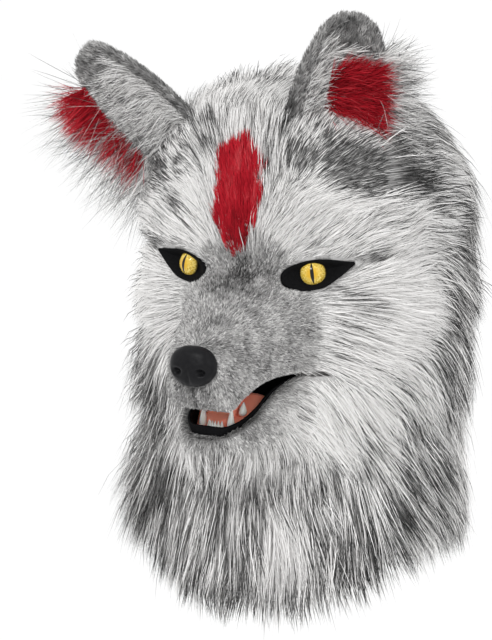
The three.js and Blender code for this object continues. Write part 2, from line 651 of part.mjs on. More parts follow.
// The hood's hole behind the muzzle, the mouth and the jaw.
const SNOUT_ROUND = 2.3;
function snoutHole() {
  const half = JAW_HALF_WIDTH * POCKET[0].wide + HOLE_ROOM;
  const top = NOSE_BRIDGE_Z - 3 * MUZZLE_WALL;
  const bottom = JAW_FRONT_LIP_Z - JAW_HEIGHT + 2.5 * MUZZLE_WALL;
  const ends = [HOOD_AXIS_Y, HOOD_AXIS_Y - 2 * HOOD_FRONT];
  return loft(ends.map((y) => across(y, half, top, bottom, SNOUT_ROUND)));
}

function makeHood() {
  const inside = hoodGrown(-CLOTH, PAST_HEM);
  const eyes = [1, -1].map((side) => eyeBall(side, GAP));
  add('hood', hoodGrown(0).subtract(union([inside, snoutHole(), ...eyes])), backing);
}

// The mouth's pocket. out: share of the jaw's length. wide: share of its half width. roof, floor: shares
// of the mouth's depth, from the lips.
const POCKET = [
  { out: 0.2, wide: 0.72, roof: 0.6, floor: 1 },
  { out: 0.5, wide: 0.58, roof: 0.7, floor: 1 },
  { out: 0.72, wide: 0.47, roof: 0.7, floor: 0.82 },
  { out: 0.88, wide: 0.36, roof: 0.6, floor: 0.58 },
  { out: 0.95, wide: 0.25, roof: 0.36, floor: 0.36 },
];
const jawLipAt = (out) => lerp(MOUTH_CORNER_Z, JAW_FRONT_LIP_Z, between(JAW, 'out', 'lip', out));
function pocketForm(grow, inset = 0) {
  return loft(POCKET.map((row, i) => {
    const end = i === 0 ? 1 : i === POCKET.length - 1 ? -1 : 0;
    const y = MUZZLE_ROOT_Y - JAW_LENGTH * row.out + end * (grow - inset);
    const share = (row.out * JAW_LENGTH) / MUZZLE_LENGTH;
    const upper = LIP_Z + MUZZLE_HEIGHT * between(MUZZLE, 'out', 'lip', share);
    const half = JAW_HALF_WIDTH * row.wide + grow - inset;
    const roof = upper + MOUTH_DEPTH * row.roof + grow;
    return across(y, half, roof, jawLipAt(row.out) - MOUTH_DEPTH * row.floor - grow, 2.6);
  }));
}

function noseForm(grow) {
  const y = MUZZLE_ROOT_Y - MUZZLE_LENGTH - NOSE_PROUD;
  const z = LIP_Z + NOSE_UP;
  const body = ball([0, y, z], NOSE_HALF.clone().addScalar(grow), 14, 10);
  if (grow) return body;
  const nostrils = [1, -1].map((side) => {
    const at = [side * NOSTRIL_OUT * NOSE_HALF.x, y - NOSE_HALF.y * 0.86, z - NOSE_HALF.z * 0.22];
    return ball(at, vec(NOSTRIL_RADIUS, NOSTRIL_RADIUS, NOSTRIL_RADIUS * 0.8), 8, 6);
  });
  return body.subtract(union(nostrils));
}

function makeMuzzle() {
  const shell = muzzleForm(0).subtract(muzzleForm(-MUZZLE_WALL, MUZZLE_WALL, PAST_ROOT));
  const eyes = [1, -1].map((side) => eyeBall(side, EYE_ROOM));
  add('muzzle', shell.subtract(union([hoodClear, noseForm(GAP), pocketForm(GAP), ...eyes])), greyPlush);
  add('nose', noseForm(0), blackVinyl);
}

// Everything below a line that lies rise above the jaw's lip, from a share of the jaw's length on.
function belowLip(rise, start = 0) {
  const outs = [start, ...JAW.map((row) => row.out).filter((out) => out > start)];
  const rows = outs.map((out) => [MUZZLE_ROOT_Y - JAW_LENGTH * out, jawLipAt(out) + rise]);
  const first = [rows[0][0], JAW_FRONT_LIP_Z - 2 * JAW_HEIGHT];
  const last = [rows[rows.length - 1][0] - 10, first[1]];
  const outline = [...rows, [last[0], rows[rows.length - 1][1]], last, first];
  return extruded(outline, -JAW_HALF_WIDTH, JAW_HALF_WIDTH)
    .transform([0, 1, 0, 0, 0, 0, 1, 0, 1, 0, 0, 0, 0, 0, 0, 1]);
}

// Teeth of the lower jaw. x, spread: shares of the jaw's half width. out: share of its length.
// high: above the gum. wide, deep: at its root.
const TEETH = [
  { name: 'canine', x: 0.21, out: 0.79, high: 13, wide: 5.4, deep: 6.5 },
  { name: 'molar', x: 0.27, out: 0.66, high: 8, wide: 5.6, deep: 8 },
];
const INCISORS = { count: 6, spread: 0.2, out: 0.852, high: 6, wide: 3.4, deep: 3.4 };

// up: share of the tooth's height above the gum. size: share of its width and depth.
const TOOTH_TIP = [{ up: 0.4, size: 0.85 }, { up: 1, size: 0.16 }];

function tooth({ x, out, high, wide, deep }, grow) {
  const foot = vec(x * JAW_HALF_WIDTH, MUZZLE_ROOT_Y - JAW_LENGTH * out, jawLipAt(out) - GUM_SUNK);
  const ring = (z, size) => turns(TOOTH_SIDES).map((turn) => foot.clone().add(vec(
    ((size * wide) / 2 + grow) * Math.sin(deg(turn)),
    ((size * deep) / 2 + grow) * Math.cos(deg(turn)),
    z,
  )));
  return loft([ring(-TOOTH_ROOT - grow, 1), ...TOOTH_TIP.map(({ up, size }) => ring(high * up, size))]);
}

// The incisors stand in an arc and are one piece.
function incisorRow(grow) {
  const { count, spread, out } = INCISORS;
  return union(Array.from({ length: count }, (_, i) => {
    const share = i / (count - 1) - 0.5;
    return tooth({ ...INCISORS, x: spread * share, out: out - 0.12 * share * share }, grow);
  }));
}

function makeMouth() {
  const shell = jawForm(0).subtract(jawForm(-MUZZLE_WALL, PAST_ROOT));
  add('jaw', shell.subtract(union([hoodClear, pocketForm(GAP)])), greyPlush);
  const lining = pocketForm(0).subtract(union([pocketForm(-LINING), gapeForm(0, LINING_RIM)]));
  add('mouth_lining', lining, blackCloth);
  const sides = ([hand, side]) => TEETH.map((t) => ({ ...t, x: t.x * side, name: `${t.name}_${hand}` }));
  const teeth = HANDS.flatMap(sides);
  const sockets = union([...teeth.map((t) => tooth(t, GAP)), incisorRow(GAP)]);
  const inner = pocketForm(-LINING - GAP, GUM_INSET);
  add('gum', inner.intersect(belowLip(-GUM_SUNK, GUM_BACK)).subtract(sockets), pinkVinyl);
  for (const t of teeth) add(t.name, tooth(t, 0), toothWhite);
  add('incisor_row', incisorRow(0), toothWhite);
  add('tongue', tongueForm().subtract(belowLip(GAP - GUM_SUNK)), pinkVinyl);
}

// out: share of the jaw's length. wide: share of its half width. high: above the lip, as a share of its drop.
const TONGUE = [
  { out: 0.5, wide: 0.2, high: 0.1 },
  { out: 0.58, wide: 0.2, high: 0.2 },
  { out: 0.68, wide: 0.17, high: 0.26 },
  { out: 0.78, wide: 0.12, high: 0.2 },
  { out: 0.81, wide: 0.07, high: 0.05 },
];
function tongueForm() {
  return loft(TONGUE.map((row) => {
    const y = MUZZLE_ROOT_Y - JAW_LENGTH * row.out;
    const lip = jawLipAt(row.out);
    return across(y, JAW_HALF_WIDTH * row.wide, lip + JAW_DROP * row.high, lip - 2 * GUM_SUNK, 2.4);
  }));
}

function makeFur(ears) {
  const hard = [
    hoodClear, muzzleForm(CLEAR_FUR), jawForm(CLEAR_FUR), pocketForm(CLEAR_FUR), ...ears,
    ...[1, -1].map((side) => almond(side, CLEAR_FUR)),
  ];
  const body = furForm(0);
  let taken = union(hard);
  for (const { name, locks, side, fur, space } of PANELS) {
    const form = union([body.intersect(space), ...locksOf(locks, side, 0)]);
    const panel = mainBody(form.subtract(taken));
    const mesh = new THREE.Mesh(geometryOf(panel), fur);
    mesh.name = name;
    root.add(mesh);
    const near = union([furForm(GAP).intersect(space), ...locksOf(locks, side, GAP)]);
    taken = union([taken, near]);
  }
}

makeHood();
makeMuzzle();
makeMouth();
makeEye(1, 'left');
makeEye(-1, 'right');
makeFur([makeEar('left'), makeEar('right')]);

export default root;
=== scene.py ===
import bmesh
import bpy
import numpy as np
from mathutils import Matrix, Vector
from mathutils.kdtree import KDTree


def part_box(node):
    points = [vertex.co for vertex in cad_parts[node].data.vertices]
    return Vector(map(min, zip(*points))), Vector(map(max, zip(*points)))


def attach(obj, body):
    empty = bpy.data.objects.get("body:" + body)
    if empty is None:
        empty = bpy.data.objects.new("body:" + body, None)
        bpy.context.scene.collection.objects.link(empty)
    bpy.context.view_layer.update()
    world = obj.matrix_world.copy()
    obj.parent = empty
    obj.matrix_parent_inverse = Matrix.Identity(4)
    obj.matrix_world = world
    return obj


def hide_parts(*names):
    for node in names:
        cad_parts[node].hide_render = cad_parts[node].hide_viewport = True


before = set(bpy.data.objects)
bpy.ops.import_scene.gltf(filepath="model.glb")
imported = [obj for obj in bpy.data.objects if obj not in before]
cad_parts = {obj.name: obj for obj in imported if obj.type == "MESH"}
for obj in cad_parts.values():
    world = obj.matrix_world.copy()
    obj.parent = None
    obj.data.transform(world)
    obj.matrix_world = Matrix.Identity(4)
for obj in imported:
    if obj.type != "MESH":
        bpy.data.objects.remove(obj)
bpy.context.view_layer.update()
rng = np.random.default_rng(20)
MM = 0.001

# Sizes that the solids were made from
CLOTH = 3.0
HOOD_DROP = 336.0
HEM_RISE = 44.0
HOOD_HALF_WIDTH = 88.0
HOOD_FRONT = 92.0
HOOD_BACK = 104.0
HOOD_AXIS_Y = 10.0
FACE_PILE, CROWN_PILE, MANE_PILE, BACK_PILE, THROAT_PILE = 8.0, 12.0, 25.0, 19.0, 18.0
MUZZLE_ROOT_Y = -56.0
MUZZLE_LENGTH, MUZZLE_HALF_WIDTH, MUZZLE_WALL = 98.0, 58.0, 4.5
NOSE_BRIDGE_Z, LIP_Z, MOUTH_CORNER_Z = -104.0, -198.0, -183.0
JAW_DROP, JAW_LENGTH, JAW_HALF_WIDTH, JAW_HEIGHT = 20.5, 86.0, 50.0, 27.0
MOUTH_DEPTH, LINING, LINING_RIM, GUM_SUNK, TONGUE_HALF = 17.0, 1.6, 6.0, 3.5, 9.5
EYE_X, EYE_Z, EYE_RISE = 48.0, -113.0, 3.4
EYE_BALL_RADIUS, EYE_STAND, EYE_TURN = 9.8, 2.5, 18.0
SURROUND_LENGTH, SURROUND_HEIGHT = 50.0, 21.0
EAR_HEIGHT, EAR_HALF_WIDTH, EAR_WALL, EAR_CUP = 104.0, 35.0, 7.0, 15.0

# The photograph's view. The turn is to the wolf's left and the rise above it, in degrees.
PHOTO_WIDTH, PHOTO_HEIGHT = 492, 640
VIEW_TURN, VIEW_RISE, VIEW_DISTANCE = 28.0, 10.0, 1300.0
VIEW_TARGET = np.array([-34.33, -18.25, -160.84])
SENSOR, LENS = 36.0, 101.56

# How far the forms that cut others run on past them
PAST_HEM, PAST_ROOT, PAST_SIDE, PAST_NOSE = 60.0, 20.0, 120.0, 20.0
EYE_CUT = (-20.0, 30.0)

MUZZLE_HEIGHT = NOSE_BRIDGE_Z - LIP_Z
JAW_FRONT_LIP_Z = LIP_Z - JAW_DROP

# Tables of sections, as in the solids
HOOD = {
    "down": [0.0, 0.018, 0.048, 0.095, 0.175, 0.307, 0.5, 0.72, 0.872, 1.0],
    "wide": [0.24, 0.52, 0.72, 0.85, 0.94, 0.97, 0.98, 0.97, 1.0, 1.05],
    "front": [0.28, 0.58, 0.81, 0.92, 0.97, 1.0, 0.97, 0.94, 0.98, 1.06],
    "back": [0.26, 0.52, 0.73, 0.86, 0.95, 1.0, 0.98, 0.92, 0.93, 0.98],
    "square": [2.0, 2.0, 2.1, 2.3, 2.6, 2.8, 2.6, 2.3, 2.2, 2.2],
    "rise": [1.0, 0.85, 0.6, 0.35, 0.12, 0.0, 0.0, 0.0, 0.0, 0.0],
}
MUZZLE = {
    "out": [0.0, 0.26, 0.45, 0.64, 0.81, 0.93, 1.0],
    "wide": [1.0, 0.82, 0.665, 0.55, 0.475, 0.4, 0.24],
    "top": [0.0, 0.03, 0.14, 0.285, 0.4, 0.475, 0.55],
    "lip": [0.19, 0.185, 0.18, 0.145, 0.07, 0.01, 0.09],
    "round": [2.2, 2.2, 2.3, 2.4, 2.4, 2.3, 2.0],
}
JAW = {
    "out": [0.0, 0.2, 0.5, 0.72, 0.9, 1.0],
    "wide": [1.0, 0.9, 0.72, 0.58, 0.42, 0.22],
    "lip": [0.0, 0.04, 0.25, 0.66, 0.88, 1.0],
    "chin": [1.05, 1.0, 0.93, 0.85, 0.74, 0.5],
    "round": [2.4, 2.4, 2.3, 2.2, 2.1, 2.0],
}
POCKET = {
    "out": [0.2, 0.5, 0.72, 0.88, 0.95],
    "wide": [0.72, 0.58, 0.47, 0.36, 0.25],
    "roof": [0.6, 0.7, 0.7, 0.6, 0.36],
    "floor": [1.0, 1.0, 0.82, 0.58, 0.36],
}
EAR = {
    "up": [-0.14, 0.1, 0.32, 0.54, 0.75, 0.91, 1.0],
    "wide": [0.86, 1.0, 1.0, 0.91, 0.72, 0.48, 0.24],
    "deep": [1.1, 1.05, 0.98, 0.84, 0.6, 0.34, 0.12],
}
EARS = {
    "left": {
        "hand": 1, "down": 0.057, "turn": 45, "sunk": 0.26, "up": (0.2, -0.1, 0.97),
        "open": (0.64, -0.76, 0), "fringe": 34,
        # from and to across, from and to up, hairs, length, fan
        "reds": [(-0.24, 0.66, 0.0, 0.6, 7000, 22, 4.0)],
    },
    "right": {
        "hand": -1, "down": 0.137, "turn": -65, "sunk": -0.03, "up": (-0.66, -0.24, 0.72),
        "open": (-0.1, -0.9, -0.4), "fringe": 56,
        "reds": [(0.8, 1.0, 0.52, 0.8, 800, 28, 0.5), (0.75, 1.0, 0.15, 0.52, 260, 24, 0.5)],
    },
}


# Numbers and vectors

def smoothstep(value, low, high):
    share = np.clip((value - low) / (high - low), 0, 1)
    return share * share * (3 - 2 * share)


def lerp(a, b, share):
    return a + (b - a) * share


def unit(vectors):
    return vectors / np.maximum(np.linalg.norm(vectors, axis=-1, keepdims=True), 1e-9)


def curve(table, key, column, at):
    """A smooth curve through a table's column, at any number of places."""
    keys = np.array(table[key])
    values = np.array(table[column])
    slopes = np.gradient(values, keys)
    at = np.clip(at, keys[0], keys[-1])
    i = np.clip(np.searchsorted(keys, at) - 1, 0, len(keys) - 2)
    step = keys[i + 1] - keys[i]
    t = (at - keys[i]) / step
    start = values[i] * (2 * t**3 - 3 * t**2 + 1) + slopes[i] * step * (t**3 - 2 * t**2 + t)
    return start + values[i + 1] * (3 * t**2 - 2 * t**3) + slopes[i + 1] * step * (t**3 - t**2)


def hashed(cells, seed):
    """A repeatable number from 0 to 1 for each whole-numbered place."""
    mixed = cells @ np.array([127.1, 311.7, 74.7]) + seed * 19.19
    return np.mod(np.sin(mixed) * 43758.5453, 1.0)


def noise(points, size, seed=0):
    """Smooth noise from 0 to 1 with grains of a size."""
    places = points / size
    cell = np.floor(places)
    t = places - cell
    t = t * t * (3 - 2 * t)
    total = 0
    for corner in np.ndindex(2, 2, 2):
        corner = np.array(corner)
        weight = np.prod(np.where(corner, t, 1 - t), axis=-1)
        total = total + weight * hashed(cell + corner, seed)
    return total


# Forms of the head, the muzzle, the jaw and the mouth

def away_from_face(turn):
    return np.abs(np.mod(turn + 180, 360) - 180)


def hood_point(down, turn, grow=0.0):
    power = 2 / curve(HOOD, "down", "square", down)
    s = np.sin(np.radians(turn))
    c = np.cos(np.radians(turn))
    front = HOOD_FRONT * curve(HOOD, "down", "front", down)
    back = HOOD_BACK * curve(HOOD, "down", "back", down)
    rise = np.clip(curve(HOOD, "down", "rise", down), 0, 1)
    spread = grow * np.sqrt(1 - rise * rise)
    hem = HEM_RISE * smoothstep(down, 0.55, 1) * smoothstep(away_from_face(turn), 10, 72)
    x = (HOOD_HALF_WIDTH * curve(HOOD, "down", "wide", down) + spread) * np.sign(s) * np.abs(s) ** power
    y = HOOD_AXIS_Y - (np.where(c > 0, front, back) + spread) * np.sign(c) * np.abs(c) ** power
    return np.stack([x, y, CLOTH - HOOD_DROP * down + hem + grow * rise], -1)


def pile(down, turn):
    away = away_from_face(turn)
    mane = lerp(MANE_PILE, BACK_PILE, smoothstep(away, 110, 165))
    face = lerp(FACE_PILE, THROAT_PILE, smoothstep(down, 0.56, 0.7))
    side = lerp(face, mane, smoothstep(away, 30, 62))
    return lerp(CROWN_PILE, side, smoothstep(down, 0.02, 0.16))


def hood_rings(share, grow, below, sides=96):
    """Rings of the hood's form, moved out by a share of the fur's body and by grow."""
    downs = np.concatenate([np.linspace(0, 0.12, 14)[:-1], np.linspace(0.12, 1, 40)])
    down, turn = np.meshgrid(downs, np.linspace(0, 360, sides, endpoint=False), indexing="ij")
    rings = hood_point(down, turn, share * pile(down, turn) + grow)
    if below:
        rings = np.concatenate([rings, rings[-1:] - [0, 0, below]])
    return rings


def across(y, half, top, bottom, roundness, sides=48, lip=0, squareness=4.5):
    """Sections across the snout, one for each y.

    lip: 1 squares their upper half off and -1 their lower half."""
    turn = np.radians(np.linspace(0, 360, sides, endpoint=False))[None, :]
    s, c = np.sin(turn), np.cos(turn)
    bend = 2 / np.broadcast_to(roundness, y.shape)[:, None]
    if lip:
        bend = lerp(bend, 2 / squareness, smoothstep(lip * c, -0.3, 0.3))
    middle = ((top + bottom) / 2)[:, None]
    high = ((top - bottom) / 2)[:, None]
    x = half[:, None] * np.sign(s) * np.abs(s) ** bend
    z = middle + high * np.sign(c) * np.abs(c) ** bend
    return np.stack([x, np.broadcast_to(y[:, None], x.shape), z], -1)


def muzzle_lip(out):
    return LIP_Z + MUZZLE_HEIGHT * curve(MUZZLE, "out", "lip", out)


def jaw_lip(out):
    return lerp(MOUTH_CORNER_Z, JAW_FRONT_LIP_Z, curve(JAW, "out", "lip", out))


def muzzle_rings(grow, back=0.0, under=None):
    out = np.linspace(0, 1, 26)
    y = MUZZLE_ROOT_Y - MUZZLE_LENGTH * out
    y[0] += back
    y[-1] -= grow
    half = MUZZLE_HALF_WIDTH * curve(MUZZLE, "out", "wide", out) + grow
    top = NOSE_BRIDGE_Z - MUZZLE_HEIGHT * curve(MUZZLE, "out", "top", out) + grow
    bottom = muzzle_lip(out) - (grow if under is None else under)
    return across(y, half, top, bottom, curve(MUZZLE, "out", "round", out), lip=-1)


def jaw_rings(grow, back=0.0, over=None):
    out = np.linspace(0, 1, 24)
    y = MUZZLE_ROOT_Y - JAW_LENGTH * out
    y[0] += back
    y[-1] -= grow
    half = JAW_HALF_WIDTH * curve(JAW, "out", "wide", out) + grow
    chin = JAW_FRONT_LIP_Z - JAW_HEIGHT * curve(JAW, "out", "chin", out) - grow
    top = jaw_lip(out) + (grow if over is None else over)
    return across(y, half, top, chin, curve(JAW, "out", "round", out), lip=1)


def pocket_rings(grow):
    out = np.linspace(POCKET["out"][0], POCKET["out"][-1], 20)
    y = MUZZLE_ROOT_Y - JAW_LENGTH * out
    y[0] += grow
    y[-1] -= grow
    upper = muzzle_lip(out * JAW_LENGTH / MUZZLE_LENGTH)
    half = JAW_HALF_WIDTH * curve(POCKET, "out", "wide", out) + grow
    roof = upper + MOUTH_DEPTH * curve(POCKET, "out", "roof", out) + grow
    floor = jaw_lip(out) - MOUTH_DEPTH * curve(POCKET, "out", "floor", out) - grow
    return across(y, half, roof, floor, 2.6)


def gape_ring(side, rim=0.0):
    """The outline of everything between the lips, at one x. rim: how far it keeps off the jaw's front lip."""
    out = np.linspace(0, 1, 24)
    upper = np.stack([MUZZLE_ROOT_Y - MUZZLE_LENGTH * out, muzzle_lip(out)], -1)
    lower = np.stack([MUZZLE_ROOT_Y - JAW_LENGTH * out, jaw_lip(out) + rim * out**2], -1)[::-1]
    ahead = MUZZLE_ROOT_Y - MUZZLE_LENGTH - PAST_NOSE
    front = [[ahead, upper[-1, 1]], [ahead, lower[0, 1]]]
    line = np.concatenate([upper, front, lower])
    return np.column_stack([np.full(len(line), side), line])


def ear_frame(ear):
    high = unit(np.array(ear["up"], dtype=float))
    base = hood_point(np.array(ear["down"]), np.array(float(ear["turn"]))) - high * ear["sunk"] * EAR_HEIGHT
    front = np.array(ear["open"], dtype=float)
    front = unit(front - high * (front @ high))
    return {"base": base, "high": high, "front": front, "side": ear["hand"] * np.cross(high, front)}


def ear_point(place, up, wide_share, before):
    """A point of the ear, up its height, across its width and before its back face."""
    wide = curve(EAR, "up", "wide", up) * EAR_HALF_WIDTH
    cup = EAR_CUP * curve(EAR, "up", "deep", up) * (wide_share**2 - 1)
    return (
        place["base"] + place["high"] * (EAR_HEIGHT * up)[..., None]
        + place["side"] * (wide * wide_share)[..., None] + place["front"] * (cup + before)[..., None]
    )


def hood_front_y(x, down):
    square = curve(HOOD, "down", "square", down)
    share = (abs(x) / (HOOD_HALF_WIDTH * curve(HOOD, "down", "wide", down))) ** square
    return HOOD_AXIS_Y - HOOD_FRONT * curve(HOOD, "down", "front", down) * (1 - share) ** (1 / square)


def eye_frame(side):
    turn = np.radians(EYE_TURN)
    out = unit(np.array([side * np.sin(turn), -np.cos(turn), 0.06]))
    along = np.array([side * np.cos(turn), np.sin(turn), 0.14])
    along = unit(along - out * (along @ out))
    up = side * np.cross(out, along)
    y = hood_front_y(EYE_X, (CLOTH - EYE_Z) / HOOD_DROP) - EYE_RISE
    return {"at": np.array([side * EYE_X, y, EYE_Z]), "out": out, "along": along, "up": up}


ALMOND = np.array([
    [-0.43, -0.2], [-0.41, 0.12], [-0.27, 0.31], [0.0, 0.42], [0.24, 0.37], [0.42, 0.27], [0.58, 0.17],
    [0.46, -0.06], [0.3, -0.3], [0.12, -0.5], [-0.14, -0.53], [-0.33, -0.4],
])


def closed_curve(points, count):
    """A smooth closed line through points."""
    total = len(points)
    at = np.linspace(0, total, count, endpoint=False)
    i = np.floor(at).astype(int)
    t = (at - i)[:, None]
    a, b, c, d = (points[(i + k) % total] for k in (-1, 0, 1, 2))
    return 0.5 * (2 * b + (c - a) * t + (2 * a - 5 * b + 4 * c - d) * t**2 + (3 * b - a - 3 * c + d) * t**3)


def almond_ring(side, size, depth):
    eye = eye_frame(side)
    line = closed_curve(ALMOND, 64)
    a = line[:, :1] * SURROUND_LENGTH * size
    b = line[:, 1:] * SURROUND_HEIGHT * size
    return eye["at"] + eye["along"] * a + eye["up"] * b + eye["out"] * depth


# Meshes

def made_object(name, points, faces):
    mesh = bpy.data.meshes.new(name)
    mesh.from_pydata((np.asarray(points) * MM).tolist(), [], faces)
    tidy = bmesh.new()
    tidy.from_mesh(mesh)
    bmesh.ops.recalc_face_normals(tidy, faces=tidy.faces)
    tidy.to_mesh(mesh)
    tidy.free()
    mesh.shade_smooth()
    obj = bpy.data.objects.new(name, mesh)
    bpy.context.scene.collection.objects.link(obj)
    return obj


def lofted(name, rings):
    """A closed body through rings of points, with a cap at each end."""
    count, sides = rings.shape[:2]
    faces = []
    for r in range(count - 1):
        for i in range(sides):
            j = (i + 1) % sides
            faces.append((r * sides + i, r * sides + j, (r + 1) * sides + j, (r + 1) * sides + i))
    points = list(rings.reshape(-1, 3))
    for ring in (0, count - 1):
        points.append(rings[ring].mean(axis=0))
        hub = len(points) - 1
        faces += [(hub, ring * sides + i, ring * sides + (i + 1) % sides) for i in range(sides)]
    return made_object(name, points, faces)


def joined(name, objects):
    """One object with the meshes of several, which are removed."""
    mesh = bpy.data.meshes.new(name)
    whole = bmesh.new()
    for obj in objects:
        whole.from_mesh(obj.data)
    whole.to_mesh(mesh)
    whole.free()
    for obj in objects:
        bpy.data.objects.remove(obj)
    mesh.shade_smooth()
    result = bpy.data.objects.new(name, mesh)
    bpy.context.scene.collection.objects.link(result)
    return result


def apply_modifiers(obj):
    bpy.context.view_layer.update()
    depsgraph = bpy.context.evaluated_depsgraph_get()
    mesh = bpy.data.meshes.new_from_object(obj.evaluated_get(depsgraph))
    obj.modifiers.clear()
    obj.data = mesh


def remeshed(obj, voxel, rounds):
    cells = obj.modifiers.new("cells", "REMESH")
    cells.mode = "VOXEL"
    cells.voxel_size = voxel * MM
    soften = obj.modifiers.new("soften", "SMOOTH")
    soften.factor = 0.5
    soften.iterations = rounds
    apply_modifiers(obj)
    obj.data.shade_smooth()


def cut(obj, cutters):
    """Takes each cutter's space out of an object, and removes the cutters."""
    for number, cutter in enumerate(cutters):
        modifier = obj.modifiers.new(f"cut_{number}", "BOOLEAN")
        modifier.operation = "DIFFERENCE"
        modifier.solver = "EXACT"
        modifier.object = cutter
    apply_modifiers(obj)
    for cutter in cutters:
        bpy.data.objects.remove(cutter)
    obj.data.shade_smooth()


# Materials

def new_material(name, roughness, specular=0.5):
    material = bpy.data.materials.new(name)
    material.use_nodes = True
    shader = material.node_tree.nodes["Principled BSDF"]
    shader.inputs["Roughness"].default_value = roughness
    shader.inputs["Specular IOR Level"].default_value = specular
    return material, material.node_tree.nodes, material.node_tree.links, shader


def ramp(nodes, links, source, stops):
    node = nodes.new("ShaderNodeValToRGB")
    elements = node.color_ramp.elements
    while len(elements) > 1:
        elements.remove(elements[-1])
    elements[0].position = stops[0][0]
    elements[0].color = (*stops[0][1], 1)
    for position, color in stops[1:]:
        elements.new(position).color = (*color, 1)
    links.new(source, node.inputs["Fac"])
    return node.outputs["Color"]


def math_node(nodes, links, operation, *values):
    node = nodes.new("ShaderNodeMath")
    node.operation = operation
    for socket, value in zip(node.inputs, values):
        if isinstance(value, (int, float)):
            socket.default_value = value
        else:
            links.new(value, socket)
    return node.outputs[0]


def map_range(nodes, links, value, low, high, to_low=0.0, to_high=1.0):
    node = nodes.new("ShaderNodeMapRange")
    node.interpolation_type = "SMOOTHSTEP"
    links.new(value, node.inputs["Value"])
    for name, number in (("From Min", low), ("From Max", high), ("To Min", to_low), ("To Max", to_high)):
        node.inputs[name].default_value = number
    return node.outputs["Result"]


def mixed(nodes, links, share, a, b):
    node = nodes.new("ShaderNodeMix")
    node.data_type = "RGBA"
    links.new(share, node.inputs["Factor"])
    for socket, value in ((node.inputs[6], a), (node.inputs[7], b)):
        if isinstance(value, tuple):
            socket.default_value = (*value, 1)
        else:
            links.new(value, socket)
    return node.outputs[2]


def noise_node(nodes, links, scale, detail=2.0, stretch=(1, 1, 1)):
    place = nodes.new("ShaderNodeTexCoord")
    mapping = nodes.new("ShaderNodeMapping")
    mapping.inputs["Scale"].default_value = stretch
    links.new(place.outputs["Object"], mapping.inputs["Vector"])
    node = nodes.new("ShaderNodeTexNoise")
    node.inputs["Scale"].default_value = scale
    node.inputs["Detail"].default_value = detail
    links.new(mapping.outputs["Vector"], node.inputs["Vector"])
    return node.outputs["Fac"]


def bump(nodes, links, shader, height, strength, distance):
    node = nodes.new("ShaderNodeBump")
    node.inputs["Strength"].default_value = strength
    node.inputs["Distance"].default_value = distance
    links.new(height, node.inputs["Height"])
    links.new(node.outputs["Normal"], shader.inputs["Normal"])


def grey(value, warmth=0.012):
    return (value * (1 + warmth), value, value * (1 - warmth))


def hair_material(name, root_stops, tip_stops, start, end, roughness=0.6):
    """Hair coloured from root to tip. The map's first axis is its tone, the second the way along it."""
    material, nodes, links, shader = new_material(name, roughness, 0.12)
    place = nodes.new("ShaderNodeUVMap")
    place.uv_map = "OFBake"
    parts = nodes.new("ShaderNodeSeparateXYZ")
    links.new(place.outputs["UV"], parts.inputs[0])
    root = ramp(nodes, links, parts.outputs["X"], root_stops)
    tip = ramp(nodes, links, parts.outputs["X"], tip_stops)
    share = map_range(nodes, links, parts.outputs["Y"], start, end)
    links.new(mixed(nodes, links, share, root, tip), shader.inputs["Base Color"])
    return material


fur_material = hair_material(
    "pale_and_dark_fur",
    [(0.0, grey(0.86)), (0.35, grey(0.72)), (0.6, grey(0.5)), (0.85, grey(0.18)), (1.0, grey(0.03))],
    [(0.0, grey(0.88)), (0.3, grey(0.66)), (0.45, grey(0.2)), (0.6, grey(0.03)), (1.0, grey(0.006))],
    0.25, 0.75,
)
red_material = hair_material(
    "red_fur",
    [(0.0, (0.45, 0.01, 0.02)), (0.6, (0.28, 0.003, 0.009)), (1.0, (0.05, 0.003, 0.005))],
    [
        (0.0, (0.62, 0.1, 0.11)), (0.35, (0.52, 0.012, 0.026)),
        (0.75, (0.33, 0.004, 0.012)), (1.0, (0.1, 0.008, 0.01)),
    ],
    0.2, 0.95,
)
plush_material = hair_material(
    "short_grey_plush",
    [(0.0, grey(0.7)), (0.5, grey(0.3)), (1.0, grey(0.02))],
    [(0.0, grey(0.76)), (0.5, grey(0.32)), (1.0, grey(0.02))],
    0.2, 0.8, 0.75,
)


def backing_material():
    """Cloth under the fur. A colour stored on the mesh gives its tone.
    Its greys run darker than hair of the same tone: painted shade for the deep gaps between hairs.
    """
    material, nodes, links, shader = new_material("fur_backing_painted_shade", 0.9, 0.1)
    tone = nodes.new("ShaderNodeAttribute")
    tone.attribute_name = "tone"
    speckle = noise_node(nodes, links, 900, 2)
    share = math_node(nodes, links, "MULTIPLY_ADD", speckle, 0.5, -0.25)
    value = math_node(nodes, links, "ADD", tone.outputs["Fac"], share)
    # These greys sit well below the hair's for the same tone: painted shade for the gaps between hairs
    stops = [(0.0, grey(0.55)), (0.5, grey(0.22)), (0.85, grey(0.04)), (1.0, grey(0.004))]
    color = ramp(nodes, links, value, stops)
    links.new(color, shader.inputs["Base Color"])
    bump(nodes, links, shader, speckle, 0.5, 0.001)
    return material


def hood_material():
    material, nodes, links, shader = new_material("hood_cloth", 0.92, 0.1)
    weave = nodes.new("ShaderNodeTexWave")
    weave.inputs["Scale"].default_value = 220
    place = nodes.new("ShaderNodeTexCoord")
    links.new(place.outputs["Object"], weave.inputs["Vector"])
    patches = noise_node(nodes, links, 60, 4)
    color = mixed(nodes, links, patches, (0.2, 0.2, 0.195), (0.32, 0.315, 0.305))
    links.new(color, shader.inputs["Base Color"])
    bump(nodes, links, shader, weave.outputs["Fac"], 0.4, 0.0006)
    return material


def black_cloth_material():
    material, nodes, links, shader = new_material("black_cloth", 0.7, 0.03)
    grain = noise_node(nodes, links, 700, 3)
    color = mixed(nodes, links, grain, (0.002, 0.002, 0.002), (0.009, 0.009, 0.01))
    links.new(color, shader.inputs["Base Color"])
    bump(nodes, links, shader, grain, 0.35, 0.0005)
    return material


